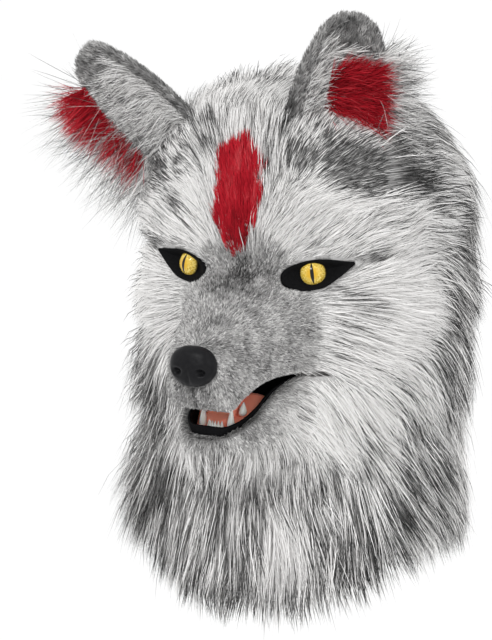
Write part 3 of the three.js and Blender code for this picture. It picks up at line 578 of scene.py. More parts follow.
def nose_material():
    material, nodes, links, shader = new_material("nose_vinyl", 0.36, 0.1)
    grain = noise_node(nodes, links, 420, 4)
    color = mixed(nodes, links, grain, (0.004, 0.004, 0.005), (0.012, 0.012, 0.013))
    links.new(color, shader.inputs["Base Color"])
    links.new(map_range(nodes, links, grain, 0.3, 0.7, 0.3, 0.46), shader.inputs["Roughness"])
    bump(nodes, links, shader, grain, 0.3, 0.0006)
    return material


def gum_material():
    material, nodes, links, shader = new_material("gum_vinyl", 0.3, 0.25)
    patches = noise_node(nodes, links, 90, 3)
    low = mixed(nodes, links, patches, (1.0, 0.25, 0.16), (1.0, 0.42, 0.3))
    links.new(low, shader.inputs["Base Color"])
    shader.inputs["Subsurface Weight"].default_value = 0.15
    shader.inputs["Subsurface Radius"].default_value = (0.004, 0.001, 0.0005)
    bump(nodes, links, shader, patches, 0.25, 0.001)
    return material


def tooth_material():
    material, nodes, links, shader = new_material("tooth", 0.22, 0.5)
    stain = noise_node(nodes, links, 160, 2)
    links.new(mixed(nodes, links, stain, (0.86, 0.82, 0.74), (0.93, 0.91, 0.87)), shader.inputs["Base Color"])
    shader.inputs["Subsurface Weight"].default_value = 0.1
    return material


def eye_material():
    """An amber iris with fibres, a dark rim and a slit pupil, laid out on the map of the ball's front."""
    material, nodes, links, shader = new_material("amber_eye", 0.08, 0.08)
    place = nodes.new("ShaderNodeUVMap")
    place.uv_map = "OFBake"
    parts = nodes.new("ShaderNodeSeparateXYZ")
    links.new(place.outputs["UV"], parts.inputs[0])
    a = math_node(nodes, links, "SUBTRACT", parts.outputs["X"], 0.5)
    b = math_node(nodes, links, "SUBTRACT", parts.outputs["Y"], 0.5)
    aa = math_node(nodes, links, "MULTIPLY", a, a)
    reach = math_node(nodes, links, "SQRT", math_node(nodes, links, "MULTIPLY_ADD", b, b, aa))
    angle = math_node(nodes, links, "ARCTAN2", b, a)
    fibre_place = nodes.new("ShaderNodeCombineXYZ")
    links.new(math_node(nodes, links, "MULTIPLY", angle, 6.0), fibre_place.inputs["X"])
    links.new(math_node(nodes, links, "MULTIPLY", reach, 5.0), fibre_place.inputs["Y"])
    fibres = nodes.new("ShaderNodeTexNoise")
    fibres.inputs["Scale"].default_value = 3.0
    fibres.inputs["Detail"].default_value = 4.0
    links.new(fibre_place.outputs[0], fibres.inputs["Vector"])
    iris = ramp(nodes, links, fibres.outputs["Fac"], [
        (0.34, (0.2, 0.1, 0.015)), (0.48, (0.7, 0.46, 0.04)), (0.66, (0.9, 0.8, 0.3)),
    ])
    inner = map_range(nodes, links, reach, 0.1, 0.3)
    warm = mixed(nodes, links, inner, (0.62, 0.36, 0.02), iris)
    rim = map_range(nodes, links, reach, 0.4, 0.455)
    ringed = mixed(nodes, links, rim, warm, (0.01, 0.008, 0.006))
    high = math_node(nodes, links, "DIVIDE", b, 0.38)
    taper = math_node(nodes, links, "SUBTRACT", 1.0, math_node(nodes, links, "MULTIPLY", high, high))
    slit = math_node(nodes, links, "MULTIPLY", taper, 0.062)
    beside = math_node(nodes, links, "SUBTRACT", math_node(nodes, links, "ABSOLUTE", a), slit)
    pupil = map_range(nodes, links, beside, -0.008, 0.012)
    links.new(mixed(nodes, links, pupil, (0.003, 0.003, 0.003), ringed), shader.inputs["Base Color"])
    shader.inputs["Coat Weight"].default_value = 0.5
    shader.inputs["Coat Roughness"].default_value = 0.12
    return material


skin_cloth_painted_shade = backing_material()
black_cloth = black_cloth_material()
gum_vinyl = gum_material()
tooth_enamel = tooth_material()
amber_eye = eye_material()


def dress(obj, material, nodes=()):
    obj.data.materials.clear()
    obj.data.materials.append(material)
    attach(obj, "root")
    if nodes:
        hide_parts(*nodes)


# The smooth body under the fur

FUR_NODES = [
    "blaze_fur", "forehead_fur_left", "forehead_fur_right", "cheek_fur_left", "cheek_fur_right", "crown_fur",
    "mane_fur", "ruff_fur_left", "ruff_fur_right", "throat_fur",
]
SKIN_SHARE = 0.55
LIP_SPARE = 6.0  # the muzzle and the jaw reach this far past their lips until the mouth is cut

skin = joined("skin", [
    lofted("head", hood_rings(SKIN_SHARE, 0, 3)),
    lofted("snout", muzzle_rings(0, under=LIP_SPARE)),
    lofted("chin", jaw_rings(0, over=LIP_SPARE)),
])
remeshed(skin, 3.4, 8)


def mesh_arrays(obj):
    """Corners, their normals and the triangles of an object's mesh, in millimetres."""
    mesh = obj.data
    mesh.calc_loop_triangles()
    points = np.empty(len(mesh.vertices) * 3)
    mesh.vertices.foreach_get("co", points)
    normals = np.empty(len(mesh.vertices) * 3)
    mesh.vertices.foreach_get("normal", normals)
    corners = np.empty(len(mesh.loop_triangles) * 3, dtype=np.int32)
    mesh.loop_triangles.foreach_get("vertices", corners)
    return points.reshape(-1, 3) / MM, normals.reshape(-1, 3), corners.reshape(-1, 3)


skin_points, skin_normals, skin_corners = mesh_arrays(skin)


def turn_of(points):
    return np.degrees(np.arctan2(points[:, 0], -(points[:, 1] - HOOD_AXIS_Y)))


def down_of(points):
    return (CLOTH - points[:, 2]) / HOOD_DROP


MUZZLE_MIDDLE, MUZZLE_REACH = [0, -112, -152], [54, 48, 60]
CHIN_MIDDLE, CHIN_REACH = [0, -116, -209], [36, 35, 17]


def snout_reach(points):
    """Below 1 on the muzzle and the jaw, and growing away from them."""
    muzzle = (points - MUZZLE_MIDDLE) / MUZZLE_REACH
    chin = (points - CHIN_MIDDLE) / CHIN_REACH
    front = smoothstep(-points[:, 1], 105, 130) * smoothstep(points[:, 2], -214, -202)
    by_muzzle = np.linalg.norm(muzzle, axis=1) * (1 - 0.25 * front)
    return np.minimum(by_muzzle, np.linalg.norm(chin, axis=1))


def eye_streak(points):
    """1 on the dark streak that runs back from each eye's outer corner, 0 away from it."""
    share = 0
    for side in (1, -1):
        eye = eye_frame(side)
        gap = points - eye["at"]
        a = gap @ eye["along"] / SURROUND_LENGTH
        b = gap @ eye["up"] / SURROUND_HEIGHT - 0.2
        share = share + smoothstep(a, 0.34, 0.46) * smoothstep(a, 1.05, 0.7) * np.exp(-((b / 0.24) ** 2))
    return share


def eye_distance(points):
    """How far points lie outside the nearer eye's almond, roughly, in millimetres."""
    best = np.full(len(points), 1e3)
    for side in (1, -1):
        eye = eye_frame(side)
        gap = points - eye["at"]
        a = gap @ eye["along"]
        b = gap @ eye["up"]
        depth = np.abs(gap @ eye["out"])
        end = np.where(a > 0, ALMOND[:, 0].max(), -ALMOND[:, 0].min())
        middle = a / (end * SURROUND_LENGTH)
        slant = SURROUND_HEIGHT * (0.2 * np.clip(middle, 0, 1) - 0.06)
        high = SURROUND_HEIGHT / 2 * (1 - 0.7 * np.clip(middle, 0, 1) ** 1.5)
        reach = np.hypot(middle, (b - slant) / np.maximum(high, 1))
        distance = (reach - 1) * 11
        best = np.minimum(best, np.where(depth < 30, distance, 1e3))
    return best


# The coat. away: degrees from the face. down: share of the hood's drop. long: of the hair. lift: degrees off
# the skin. sag: how far the hair turns downwards. dark: from 0, white, to 1, black. mottle: how far that
# varies.
COAT = np.array([
    # away, down, long, lift, sag, dark, mottle
    [0, 0.10, 22, 17, 0.0, 0.3, 0.2],
    [20, 0.13, 24, 17, 0.0, 0.5, 0.2],
    [26, 0.21, 24, 14, 0.0, 0.14, 0.1],
    [0, 0.27, 17, 14, 0.0, 0.22, 0.16],
    [40, 0.135, 28, 17, 0.1, 0.5, 0.16],
    [62, 0.16, 34, 20, 0.2, 0.7, 0.2],
    [52, 0.23, 30, 17, 0.1, 0.2, 0.16],
    [80, 0.22, 42, 24, 0.3, 0.4, 0.36],
    [0, 0.01, 20, 10, 0.0, 0.3, 0.4],
    [40, 0.03, 24, 12, 0.0, 0.3, 0.4],
    [110, 0.04, 36, 9, 0.5, 0.45, 0.4],
    [180, 0.04, 38, 8, 0.7, 0.45, 0.4],
    [56, 0.33, 24, 14, 0.05, 0.12, 0.08],
    [46, 0.46, 30, 16, 0.25, 0.12, 0.1],
    [62, 0.42, 40, 20, 0.3, 0.1, 0.1],
    [90, 0.36, 50, 25, 0.5, 0.5, 0.5],
    [92, 0.52, 52, 24, 0.7, 0.5, 0.5],
    [42, 0.62, 34, 16, 0.6, 0.14, 0.14],
    [66, 0.58, 48, 21, 0.7, 0.32, 0.4],
    [58, 0.74, 54, 17, 1.0, 0.42, 0.4],
    [88, 0.76, 52, 18, 1.0, 0.42, 0.4],
    [60, 0.92, 40, 12, 1.0, 0.5, 0.4],
    [90, 0.92, 34, 10, 1.0, 0.52, 0.4],
    [10, 0.75, 24, 14, 0.8, 0.34, 0.24],
    [10, 0.85, 44, 13, 1.0, 0.5, 0.4],
    [14, 0.98, 30, 9, 1.0, 0.5, 0.4],
    [130, 0.20, 50, 14, 1.0, 0.5, 0.45],
    [130, 0.50, 56, 13, 1.0, 0.5, 0.45],
    [130, 0.85, 40, 9, 1.0, 0.5, 0.45],
    [180, 0.25, 52, 14, 1.0, 0.5, 0.45],
    [180, 0.55, 56, 12, 1.0, 0.5, 0.45],
    [180, 0.90, 38, 9, 1.0, 0.5, 0.45],
])
FAR_DARK = 0.3  # the wolf's right side is this much darker behind its cheek

# Patches that the photograph shows on the coat: a pixel there, how far the patch spreads in millimetres
# and how much darker it makes the coat.
SEEN_PATCHES = {
    # pixel across, pixel down, reach, dark
    "crown_tuft": (262, 80, 9, 0.6),
    "brow_streak": (185, 210, 7, 0.5),
    "ear_band_inner": (300, 152, 11, 0.2),
    "ear_band_middle": (335, 172, 12, 0.5),
    "ear_band_outer": (372, 172, 13, 0.5),
    "ear_band_end": (400, 190, 13, 0.35),
    "far_ear_foot": (140, 172, 14, 0.45),
    "far_ear_foot_inner": (165, 178, 10, 0.25),
    "side_high": (455, 235, 13, 0.35),
    "side_middle": (462, 330, 14, 0.3),
    "side_low": (450, 375, 14, 0.35),
    "side_front": (420, 430, 14, 0.3),
    "side_front_low": (400, 455, 13, 0.25),
    "cheek_smudge": (345, 312, 10, 0.35),
    "cheek_smudge_low": (315, 330, 12, 0.25),
    "cheek_smudge_high": (325, 292, 9, 0.2),
    "bridge": (245, 275, 15, 0.3),
    "far_cheek_low": (150, 362, 20, 0.2),
    "far_ruff_high": (168, 420, 20, 0.25),
    "far_ruff": (150, 470, 16, 0.25),
    "ruff_middle": (240, 560, 12, 0.45),
    "ruff_far": (195, 572, 14, 0.4),
    "ruff_near": (300, 592, 13, 0.4),
    "ruff_near_high": (370, 480, 14, 0.15),
    "ruff_near_side": (330, 540, 12, 0.3),
    "ruff_pale": (280, 520, 15, -0.3),
    "ruff_pale_side": (420, 520, 14, -0.2),
    "cheek_pale": (400, 300, 24, -0.2),
    "cheek_pale_low": (370, 345, 20, -0.2),
    "brow_pale": (330, 215, 17, -0.25),
    "jaw_pale": (290, 405, 15, -0.25),
    "jaw_pale_back": (330, 400, 18, -0.25),
    "far_brow_pale": (195, 195, 14, -0.2),
    "far_cheek_pale": (152, 300, 12, -0.35),
    "mouth_corner_low": (358, 418, 13, 0.35),
    "throat_side": (325, 448, 12, 0.3),
    "throat_front": (300, 480, 13, 0.3),
    "throat_low": (345, 490, 14, 0.35),
    "cheek_back": (395, 400, 11, 0.2),
    "side_pale": (408, 475, 13, -0.3),
    "side_pale_low": (405, 505, 13, -0.3),
    "under_ear_band": (350, 160, 11, 0.3),
    "under_ear_band_low": (358, 188, 10, 0.25),
    "crown_edge": (278, 150, 8, 0.35),
    "crown_edge_low": (290, 165, 8, 0.3),
    "ear_back_pale": (420, 150, 13, -0.35),
    "ear_back_pale_high": (440, 120, 14, -0.25),
    "ear_back_pale_low": (450, 175, 14, -0.2),
    "far_ruff_pale": (150, 490, 14, -0.3),
}
# Patches behind the far cheek, where no pixel shows the skin
HIDDEN_PATCHES = {
    # x, y, z, reach, dark
    "far_side": (-84, -45, -140, 12, 0.3),
    "far_side_low": (-84, -42, -175, 12, 0.3),
}
NEAR_PIXELS = 3.0


def view_axes():
    """The way from the view's target to the camera, and the picture's right and up."""
    turn, rise = np.radians(VIEW_TURN), np.radians(VIEW_RISE)
    back = np.array([np.sin(turn) * np.cos(rise), -np.cos(turn) * np.cos(rise), np.sin(rise)])
    right = np.array([np.cos(turn), np.sin(turn), 0.0])
    return back, right, np.cross(back, right)


def skin_under(pixels):
    """The skin's corner under each pixel of the photograph, or the nearest that faces the camera."""
    back, right, up = view_axes()
    gaps = skin_points - (VIEW_TARGET + back * VIEW_DISTANCE)
    depth = -(gaps @ back)
    focus = LENS / SENSOR * PHOTO_HEIGHT
    seen_x = PHOTO_WIDTH / 2 + focus * (gaps @ right) / depth
    seen_y = PHOTO_HEIGHT / 2 - focus * (gaps @ up) / depth
    facing = np.sum(skin_normals * gaps, axis=1) < 0
    places = []
    for x, y in pixels:
        off = np.where(facing, np.hypot(seen_x - x, seen_y - y), np.inf)
        close = np.flatnonzero(off < off.min() + NEAR_PIXELS)
        places.append(skin_points[close[np.argmin(depth[close])]])
    return np.array(places)


patch_places = np.concatenate([
    skin_under([patch[:2] for patch in SEEN_PATCHES.values()]),
    [patch[:3] for patch in HIDDEN_PATCHES.values()],
])
patch_reach, patch_shade = np.array([
    patch[-2:] for patch in [*SEEN_PATCHES.values(), *HIDDEN_PATCHES.values()]
]).T


def patch_dark(points):
    gaps = np.linalg.norm(points[:, None, :] - patch_places, axis=2)
    return np.exp(-((gaps / patch_reach) ** 2)) @ patch_shade


NOSE_TIP = np.array([0.0, -160.0, -150.0])


def coat_of(points):
    """Length, lift, sag, darkness and mottling of the fur at places on the skin."""
    away = away_from_face(turn_of(points))
    down = down_of(points)
    steps = ((away[:, None] - COAT[:, 0]) / 26) ** 2 + ((down[:, None] - COAT[:, 1]) / 0.085) ** 2
    weights = 1 / (steps + 0.05) ** 2
    weights /= weights.sum(axis=1, keepdims=True)
    return (weights @ COAT[:, 2:]).T


def flow_of(points, normals, sag):
    """The way that hair lies: away from the nose, and downwards where it sags."""
    spread = unit(points - NOSE_TIP)
    way = spread * (1 - 0.75 * sag[:, None]) + np.array([0, 0, -1.0]) * sag[:, None]
    way = way - normals * np.sum(way * normals, axis=1, keepdims=True)
    return unit(way)


def scatter(points, normals, corners, count, density):
    """Places spread over a mesh's triangles, with their normals."""
    a, b, c = (points[corners[:, k]] for k in range(3))
    area = np.linalg.norm(np.cross(b - a, c - a), axis=1) * density((a + b + c) / 3)
    chosen = rng.choice(len(corners), size=count, p=area / area.sum())
    r = np.sqrt(rng.random(count))[:, None]
    s = rng.random(count)[:, None]
    shares = (1 - r, r * (1 - s), r * s)
    places = sum(share * points[corners[chosen, k]] for k, share in enumerate(shares))
    ways = sum(share * normals[corners[chosen, k]] for k, share in enumerate(shares))
    return places, unit(ways)


def nearest(points, centres):
    tree = KDTree(len(centres))
    for i, centre in enumerate(centres):
        tree.insert(centre, i)
    tree.balance()
    return np.array([tree.find(point)[1] for point in points])


def ribbon_mesh(name, paths, wide, width, tone):
    """Tapering ribbons along paths: an array of hairs by points by three. wide: across each ribbon."""
    count, rows = paths.shape[:2]
    shares = np.linspace(0, 1, rows)
    taper = np.sqrt(1 - shares[:-1] ** 1.6) * np.where(shares[:-1] == 0, 0.7, 1)
    half = wide[:, None, :] * (width[:, None] / 2 * taper)[:, :, None]
    left = paths[:, :-1] - half
    right = paths[:, :-1] + half
    body = np.stack([left, right], 2).reshape(count, -1, 3)
    points = np.concatenate([body, paths[:, -1:]], 1)
    per = points.shape[1]
    quads = np.array([(2 * k, 2 * k + 1, 2 * k + 3, 2 * k + 2) for k in range(rows - 2)]).reshape(-1)
    tip = np.array([2 * rows - 4, 2 * rows - 3, 2 * rows - 2])
    pattern = np.concatenate([quads, tip]).astype(np.int64)
    loops = (pattern + per * np.arange(count)[:, None]).reshape(-1)
    sizes = np.tile([4] * (rows - 2) + [3], count)
    mesh = bpy.data.meshes.new(name)
    mesh.vertices.add(count * per)
    mesh.vertices.foreach_set("co", (points * MM).reshape(-1))
    mesh.loops.add(len(loops))
    mesh.loops.foreach_set("vertex_index", loops.astype(np.int32))
    mesh.polygons.add(len(sizes))
    mesh.polygons.foreach_set("loop_start", (np.cumsum(sizes) - sizes).astype(np.int32))
    mesh.polygons.foreach_set("loop_total", sizes.astype(np.int32))
    spread = np.array([-1, 1] * (rows - 1) + [0]) * 0.006
    along = np.append(np.repeat(shares[:-1], 2), 1)
    u = np.clip(tone, 0.01, 0.99)[:, None] + spread[pattern]
    v = np.broadcast_to(0.005 + 0.99 * along[pattern], u.shape)
    layer = mesh.uv_layers.new(name="OFBake")
    layer.data.foreach_set("uv", np.stack([u, v], -1).reshape(-1))
    mesh.update()
    mesh.validate()
    mesh.shade_smooth()
    obj = bpy.data.objects.new(name, mesh)
    bpy.context.scene.collection.objects.link(obj)
    return obj


def hair_paths(roots, way, out, length, lift, sag, rows, curl=0.05):
    """Paths that leave the skin at the lift and then lie down along it."""
    t = np.linspace(0, 1, rows)[None, :, None]
    rise = np.sin(np.radians(lift))[:, None, None]
    level = np.cos(np.radians(lift))[:, None, None]
    long = length[:, None, None]
    along = way[:, None, :] * level * t
    off = out[:, None, :] * rise * (t - 0.35 * t**2)
    paths = roots[:, None, :] + long * (along + off)
    paths = paths + np.array([0, 0, -1.0]) * long * t**2 * 0.14 * sag[:, None, None]
    side = np.cross(way, out)[:, None, :]
    bow = rng.normal(0, curl, (len(roots), 1, 1))
    paths = paths + side * long * bow * t**2
    return paths


def ribbon_wide(way, out, spread):
    twist = rng.uniform(-spread, spread, len(way))[:, None]
    return unit(np.cross(way, out) * np.cos(twist) + out * np.sin(twist))


# Long fur on the head, in tufts

EAR_LINE, THROAT_TURN, CHEEK_TURN = 104.0, 34.0, 47.0
CROWN_Z = CLOTH - 0.057 * HOOD_DROP
BROW_Z = EYE_Z + SURROUND_HEIGHT / 2 + 5
MOUTH_Z = MOUTH_CORNER_Z - 1
RUFF_TOP_Z = CLOTH - 0.645 * HOOD_DROP
BLAZE = np.array([
    [0.02, 0.085], [0.13, 0.14], [0.12, 0.2], [0.0, 0.3], [-0.1, 0.3], [-0.2, 0.24], [-0.2, 0.115],
])
BLAZE_SINK = 7.0
BLAZE_RAGGED = 7.0


def inside_outline(x, y, outline):
    inside = np.zeros(len(x), dtype=bool)
    for (ax, ay), (bx, by) in zip(outline, np.roll(outline, -1, axis=0)):
        crosses = (ay > y) != (by > y)
        at = ax + (y - ay) / (by - ay if by != ay else 1e-9) * (bx - ax)
        inside ^= crosses & (x < at)
    return inside


def in_blaze(points):
    outline = np.stack([BLAZE[:, 0] * HOOD_HALF_WIDTH, CLOTH - HOOD_DROP * BLAZE[:, 1] - BLAZE_SINK], -1)
    x = points[:, 0] + BLAZE_RAGGED * (noise(points, 2.5, 41) - 0.5)
    z = points[:, 2] + BLAZE_RAGGED * (noise(points, 2.5, 42) - 0.5)
    return inside_outline(x, z, outline) & (points[:, 1] < 0)


def panel_of(points):
    """The name of the fur panel that holds each place."""
    turn = turn_of(points)
    away = away_from_face(turn)
    z = points[:, 2]
    hand = np.where(turn > 0, "left", "right")
    names = np.char.add("cheek_fur_", hand)
    low = z < RUFF_TOP_Z
    names = np.where(low, np.char.add("ruff_fur_", hand), names)
    names = np.where((away < THROAT_TURN) & (z < MOUTH_Z), "throat_fur", names)
    names = np.where((away < CHEEK_TURN) & (z > BROW_Z), np.char.add("forehead_fur_", hand), names)
    names = np.where(away > EAR_LINE, "mane_fur", names)
    names = np.where(z > CROWN_Z, "crown_fur", names)
    return np.where(in_blaze(points), "blaze_fur", names)


FUR_EDGE = 0.93  # the long fur begins at this reach from the snout
HAIR_OFF_EYE, BLADE_OFF_EYE = 1.0, 0.9


def under_hem(points, normals):
    """True for the flat underside that closes the body below the hem."""
    return (normals[:, 2] < -0.7) & (points[:, 2] < -250)


def fur_density(points):
    away = away_from_face(turn_of(points))
    front = lerp(1.0, 0.32, smoothstep(away, 118, 150))
    short = np.where(down_of(points) < 0.4, 1.35, 1.0)
    return front * short * np.where(snout_reach(points) > FUR_EDGE, 1.0, 0.0)


def in_mouth(points):
    """True between the lips and inside the mouth's pocket."""
    out = (MUZZLE_ROOT_Y - points[:, 1]) / JAW_LENGTH
    upper = muzzle_lip(np.clip(out * JAW_LENGTH / MUZZLE_LENGTH, 0, 1))
    lower = jaw_lip(np.clip(out, 0, 1))
    half = JAW_HALF_WIDTH * curve(POCKET, "out", "wide", out) - 0.5
    between = (points[:, 2] < upper + 1.0) & (points[:, 2] > lower - 1.0)
    pocket = (np.abs(points[:, 0]) < half) & (points[:, 2] < upper + 9) & (points[:, 2] > lower - 9)
    return (out > 0.12) & ((between & (out < 1.3)) | (pocket & (out < 0.94)))


HAIRS = 114500
TUFTS = 7000
ROWS = 4

roots, normals = scatter(skin_points, skin_normals, skin_corners, HAIRS, fur_density)
in_fur = (eye_distance(roots) > HAIR_OFF_EYE) & (snout_reach(roots) > FUR_EDGE)
keep = in_fur & ~under_hem(roots, normals) & ~in_mouth(roots)
roots, normals = roots[keep], normals[keep]
tufts, tuft_normals = scatter(skin_points, skin_normals, skin_corners, TUFTS, fur_density)


def over_ears(paths):
    """True for hair that would lie in front of an ear."""
    hides = np.zeros(len(paths), dtype=bool)
    for ear in EARS.values():
        place = ear_frame(ear)
        gap = paths[:, 1:] - place["base"]
        s = gap @ place["side"] / EAR_HALF_WIDTH
        up = gap @ place["high"] / EAR_HEIGHT
        before = gap @ place["front"]
        inside = (np.abs(s) < 0.95) & (up > -0.08) & (up < 1) & (before > -8) & (before < 45)
        hides |= inside.any(axis=1)
    return hides


def two_tones(count, dark):
    """Tones of hairs of which a share is dark and the rest pale."""
    return np.where(rng.random(count) < dark, rng.uniform(0.5, 0.95, count), rng.uniform(0.0, 0.26, count))


def lie(points, normals, sway, wild):
    """Where hair at these places goes: its way, length, lift, sag and tone, before tufts draw it together."""
    long, lift, sag, dark, mottle = coat_of(points)
    way = flow_of(points, normals, sag)
    side = np.cross(way, normals)
    swirl = (noise(points, 22, 5) - 0.5) * 0.9 + (noise(points, 60, 6) - 0.5) * 0.8
    way = unit(way + side * (swirl * sway + rng.normal(0, wild, len(points)))[:, None])
    brow = smoothstep(points[:, 2], -122, -102)
    chin = smoothstep(-points[:, 2], 222, 240)
    near = smoothstep(snout_reach(points) + 0.5 * np.maximum(brow, chin), 0.9, 1.55)
    long = lerp(6.0, long, near)
    far = smoothstep(-turn_of(points), 44, 66) * smoothstep(-turn_of(points), 150, 118)
    lift = lift * lerp(1.0, 2.5, far)
    long = long * lerp(1.0, 1.35, far)
    low = smoothstep(-points[:, 2], 60, 100)
    throat = smoothstep(-turn_of(points), 20, 40) * smoothstep(-points[:, 2], 165, 190)
    dark = dark + FAR_DARK * np.maximum(far * low, throat) + patch_dark(points)
    dark = np.maximum(dark, 1.1 * eye_streak(points))
    by_eye = smoothstep(eye_distance(points), 0, 16)
    long = long * lerp(0.25, 1.0, by_eye)
    lift = lift * lerp(0.6, 1.0, near)
    streaks = (noise(points * [1, 1, 0.5], 8, 8) - 0.5) * 1.2 + (noise(points, 20, 9) - 0.5) * 1.8
    dark = dark + mottle * streaks
    dark = lerp(0.3, dark, near)
    return way, long, lift, sag, dark


tuft_way, tuft_long, tuft_lift, tuft_sag, _ = lie(tufts, tuft_normals, 1.0, 0.12)
tuft_long = tuft_long * rng.uniform(0.8, 1.2, len(tufts))
tuft_lift = tuft_lift * rng.uniform(0.6, 1.5, len(tufts))
tuft_paths = hair_paths(tufts, tuft_way, tuft_normals, tuft_long, tuft_lift, tuft_sag, ROWS)
tuft_shift = rng.normal(0, 0.2, len(tufts))

home = nearest(roots, tufts)
way, long, lift, sag, tone = lie(roots, normals, 1.0, 0.13)
long = long * rng.uniform(0.65, 1.12, len(roots))
wisp = rng.random(len(roots)) < 0.05
long = np.where(wisp, long * 1.2, long)
lift = np.clip(lift * rng.uniform(0.5, 1.5, len(roots)) + 12 * wisp, 3, 75)
paths = hair_paths(roots, way, normals, long, lift, sag, ROWS)
pull = np.linspace(0, 1, ROWS)[None, :, None] ** 1.5 * rng.uniform(0.1, 0.7, (len(roots), 1, 1))
gap = np.linalg.norm(roots - tufts[home], axis=1)
pull = pull * smoothstep(gap, 16, 7)[:, None, None]
short = (long / np.maximum(tuft_long[home], 1))[:, None, None]
goal = tufts[home][:, None, :] + (tuft_paths[home] - tufts[home][:, None, :]) * np.minimum(short, 1.1)
paths = lerp(paths, goal, pull)
hides = over_ears(paths)[:, None, None]
paths = np.where(hides, paths[:, :1] + 0.4 * (paths - paths[:, :1]), paths)
dark_share = tone + tuft_shift[home] * smoothstep(tone, 0.1, 0.4)
tone = two_tones(len(roots), 1.15 * dark_share - 0.06)
wide = ribbon_wide(way, normals, 0.9)
width = lerp(0.4, 0.62, smoothstep(long, 8, 40)) * rng.uniform(0.65, 1.15, len(roots))
panels = panel_of(roots)

for panel in FUR_NODES[1:]:
    own = panels == panel
    piece = ribbon_mesh(f"{panel}_hair", paths[own], wide[own], width[own], tone[own])
    dress(piece, fur_material, [panel])


def make_blaze():
    """The red blaze, dense and silky, with its hair combed up the forehead."""
    tries, ways = scatter(skin_points, skin_normals, skin_corners, 8000, in_blaze)
    flow = flow_of(tries, ways, np.zeros(len(tries)))
    side = np.cross(flow, ways)
    flow = unit(flow + side * rng.normal(0, 0.07, len(tries))[:, None])
    lengths = rng.uniform(11, 17, len(tries))
    curves = hair_paths(tries, flow, ways, lengths, rng.uniform(12, 30, len(tries)), np.zeros(len(tries)), 4)
    streak = noise(tries * [1, 1, 0.2], 2.5, 31)
    shade = 0.1 + 0.6 * streak + 0.25 * smoothstep(-tries[:, 2], 60, 105) + rng.normal(0, 0.08, len(tries))
    piece = ribbon_mesh(
        "blaze_fur_hair", curves, ribbon_wide(flow, ways, 0.7), rng.uniform(0.5, 0.8, len(tries)), shade,
    )
    dress(piece, red_material, ["blaze_fur"])


make_blaze()


# Short plush on the muzzle and the jaw

def on_lower_lip(points):
    """True on the cut edge of the jaw's lip."""
    out = (MUZZLE_ROOT_Y - points[:, 1]) / JAW_LENGTH
    return (np.abs(points[:, 2] - jaw_lip(np.clip(out, 0, 1))) < 0.5) & (out > 0.25)


def lip_density(points):
    """1 on what the mouth's cut lays bare, under the muzzle's front and on the jaw's lip. 0 elsewhere."""
    out = (MUZZLE_ROOT_Y - points[:, 1]) / MUZZLE_LENGTH
    on_slope = (np.abs(points[:, 2] - muzzle_lip(np.clip(out, 0, 1))) < 0.5) & (out > 0.84)
    return np.where(on_slope | on_lower_lip(points), 1.0, 0.0)


# The skin is hollowed like the solids and opened at the mouth and the eyes.
cut(skin, [
    lofted("hood_core", hood_rings(0, 0.6, PAST_HEM)),
    lofted("snout_core", muzzle_rings(-MUZZLE_WALL, PAST_ROOT)),
    lofted("chin_core", jaw_rings(-MUZZLE_WALL, PAST_ROOT)),
    lofted("pocket_cut", pocket_rings(0.3)),
    lofted("gape_cut", np.stack([gape_ring(-PAST_SIDE), gape_ring(PAST_SIDE)])),
    *[
        lofted(f"eye_cut_{hand}", np.stack([almond_ring(side, 1.0, at) for at in EYE_CUT]))
        for side, hand in ((1, "left"), (-1, "right"))
    ],
])
cut_points, cut_normals, cut_corners = mesh_arrays(skin)
_, _, _, dark, _ = coat_of(cut_points)
# The coat's tone, which the backing's ramp darkens as painted shade under the hair
skin_tone = lerp(0.5, dark, smoothstep(snout_reach(cut_points), 0.95, 1.3))
layer = skin.data.attributes.new("tone", "FLOAT", "POINT")
layer.data.foreach_set("value", skin_tone.astype(np.float32))
dress(skin, skin_cloth_painted_shade, [*FUR_NODES, "muzzle", "jaw"])


def plush_density(points):
    reach = snout_reach(points)
    return smoothstep(reach, 1.22, 1.0) * np.where(points[:, 1] < -40, 1, 0)


BLADES = 67000
LIP_BLADES = 5200
JAW_PLUSH_Y = -62.0  # the jaw has plush of its own before here
MOUTH_MIDDLE = np.array([0, -98, 0])
blades, blade_normals = scatter(skin_points, skin_normals, skin_corners, BLADES, plush_density)
nose_low, nose_high = (np.array(corner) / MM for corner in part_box("nose"))
nose_middle = (nose_low + nose_high) / 2
nose_half = (nose_high - nose_low) / 2
off_nose = np.linalg.norm((blades - nose_middle) / (nose_half + 0.3), axis=1) > 1
keep = (eye_distance(blades) > BLADE_OFF_EYE) & ~in_mouth(blades) & off_nose
lip_blades, lip_normals = scatter(cut_points, cut_normals, cut_corners, LIP_BLADES, lip_density)
blades = np.concatenate([blades[keep], lip_blades])
blade_normals = np.concatenate([blade_normals[keep], lip_normals])
blade_way = flow_of(blades, blade_normals, np.zeros(len(blades)))
outward = unit(blades * [1, 1, 0] - MOUTH_MIDDLE)
blade_way = np.where(on_lower_lip(blades)[:, None], outward, blade_way)
blade_side = np.cross(blade_way, blade_normals)
blade_way = unit(blade_way + blade_side * rng.normal(0, 0.35, len(blades))[:, None])
reach = snout_reach(blades)
blade_long = lerp(3.6, 7.5, smoothstep(reach, 0.85, 1.2)) * rng.uniform(0.7, 1.2, len(blades))
blade_long = blade_long * lerp(0.6, 1.0, smoothstep(eye_distance(blades), 0, 8))
lip_gap = muzzle_lip((MUZZLE_ROOT_Y - blades[:, 1]) / MUZZLE_LENGTH) - blades[:, 2]
blade_long = blade_long * lerp(0.45, 1.0, smoothstep(np.abs(lip_gap), 1, 8))
blade_lift = rng.uniform(18, 48, len(blades))
blade_paths = hair_paths(
    blades, blade_way, blade_normals, blade_long, blade_lift, np.zeros(len(blades)), 3, 0.08,
)
speckle = (noise(blades, 1.4, 11) - 0.5) * 0.4 + (noise(blades, 9, 12) - 0.5) * 0.4
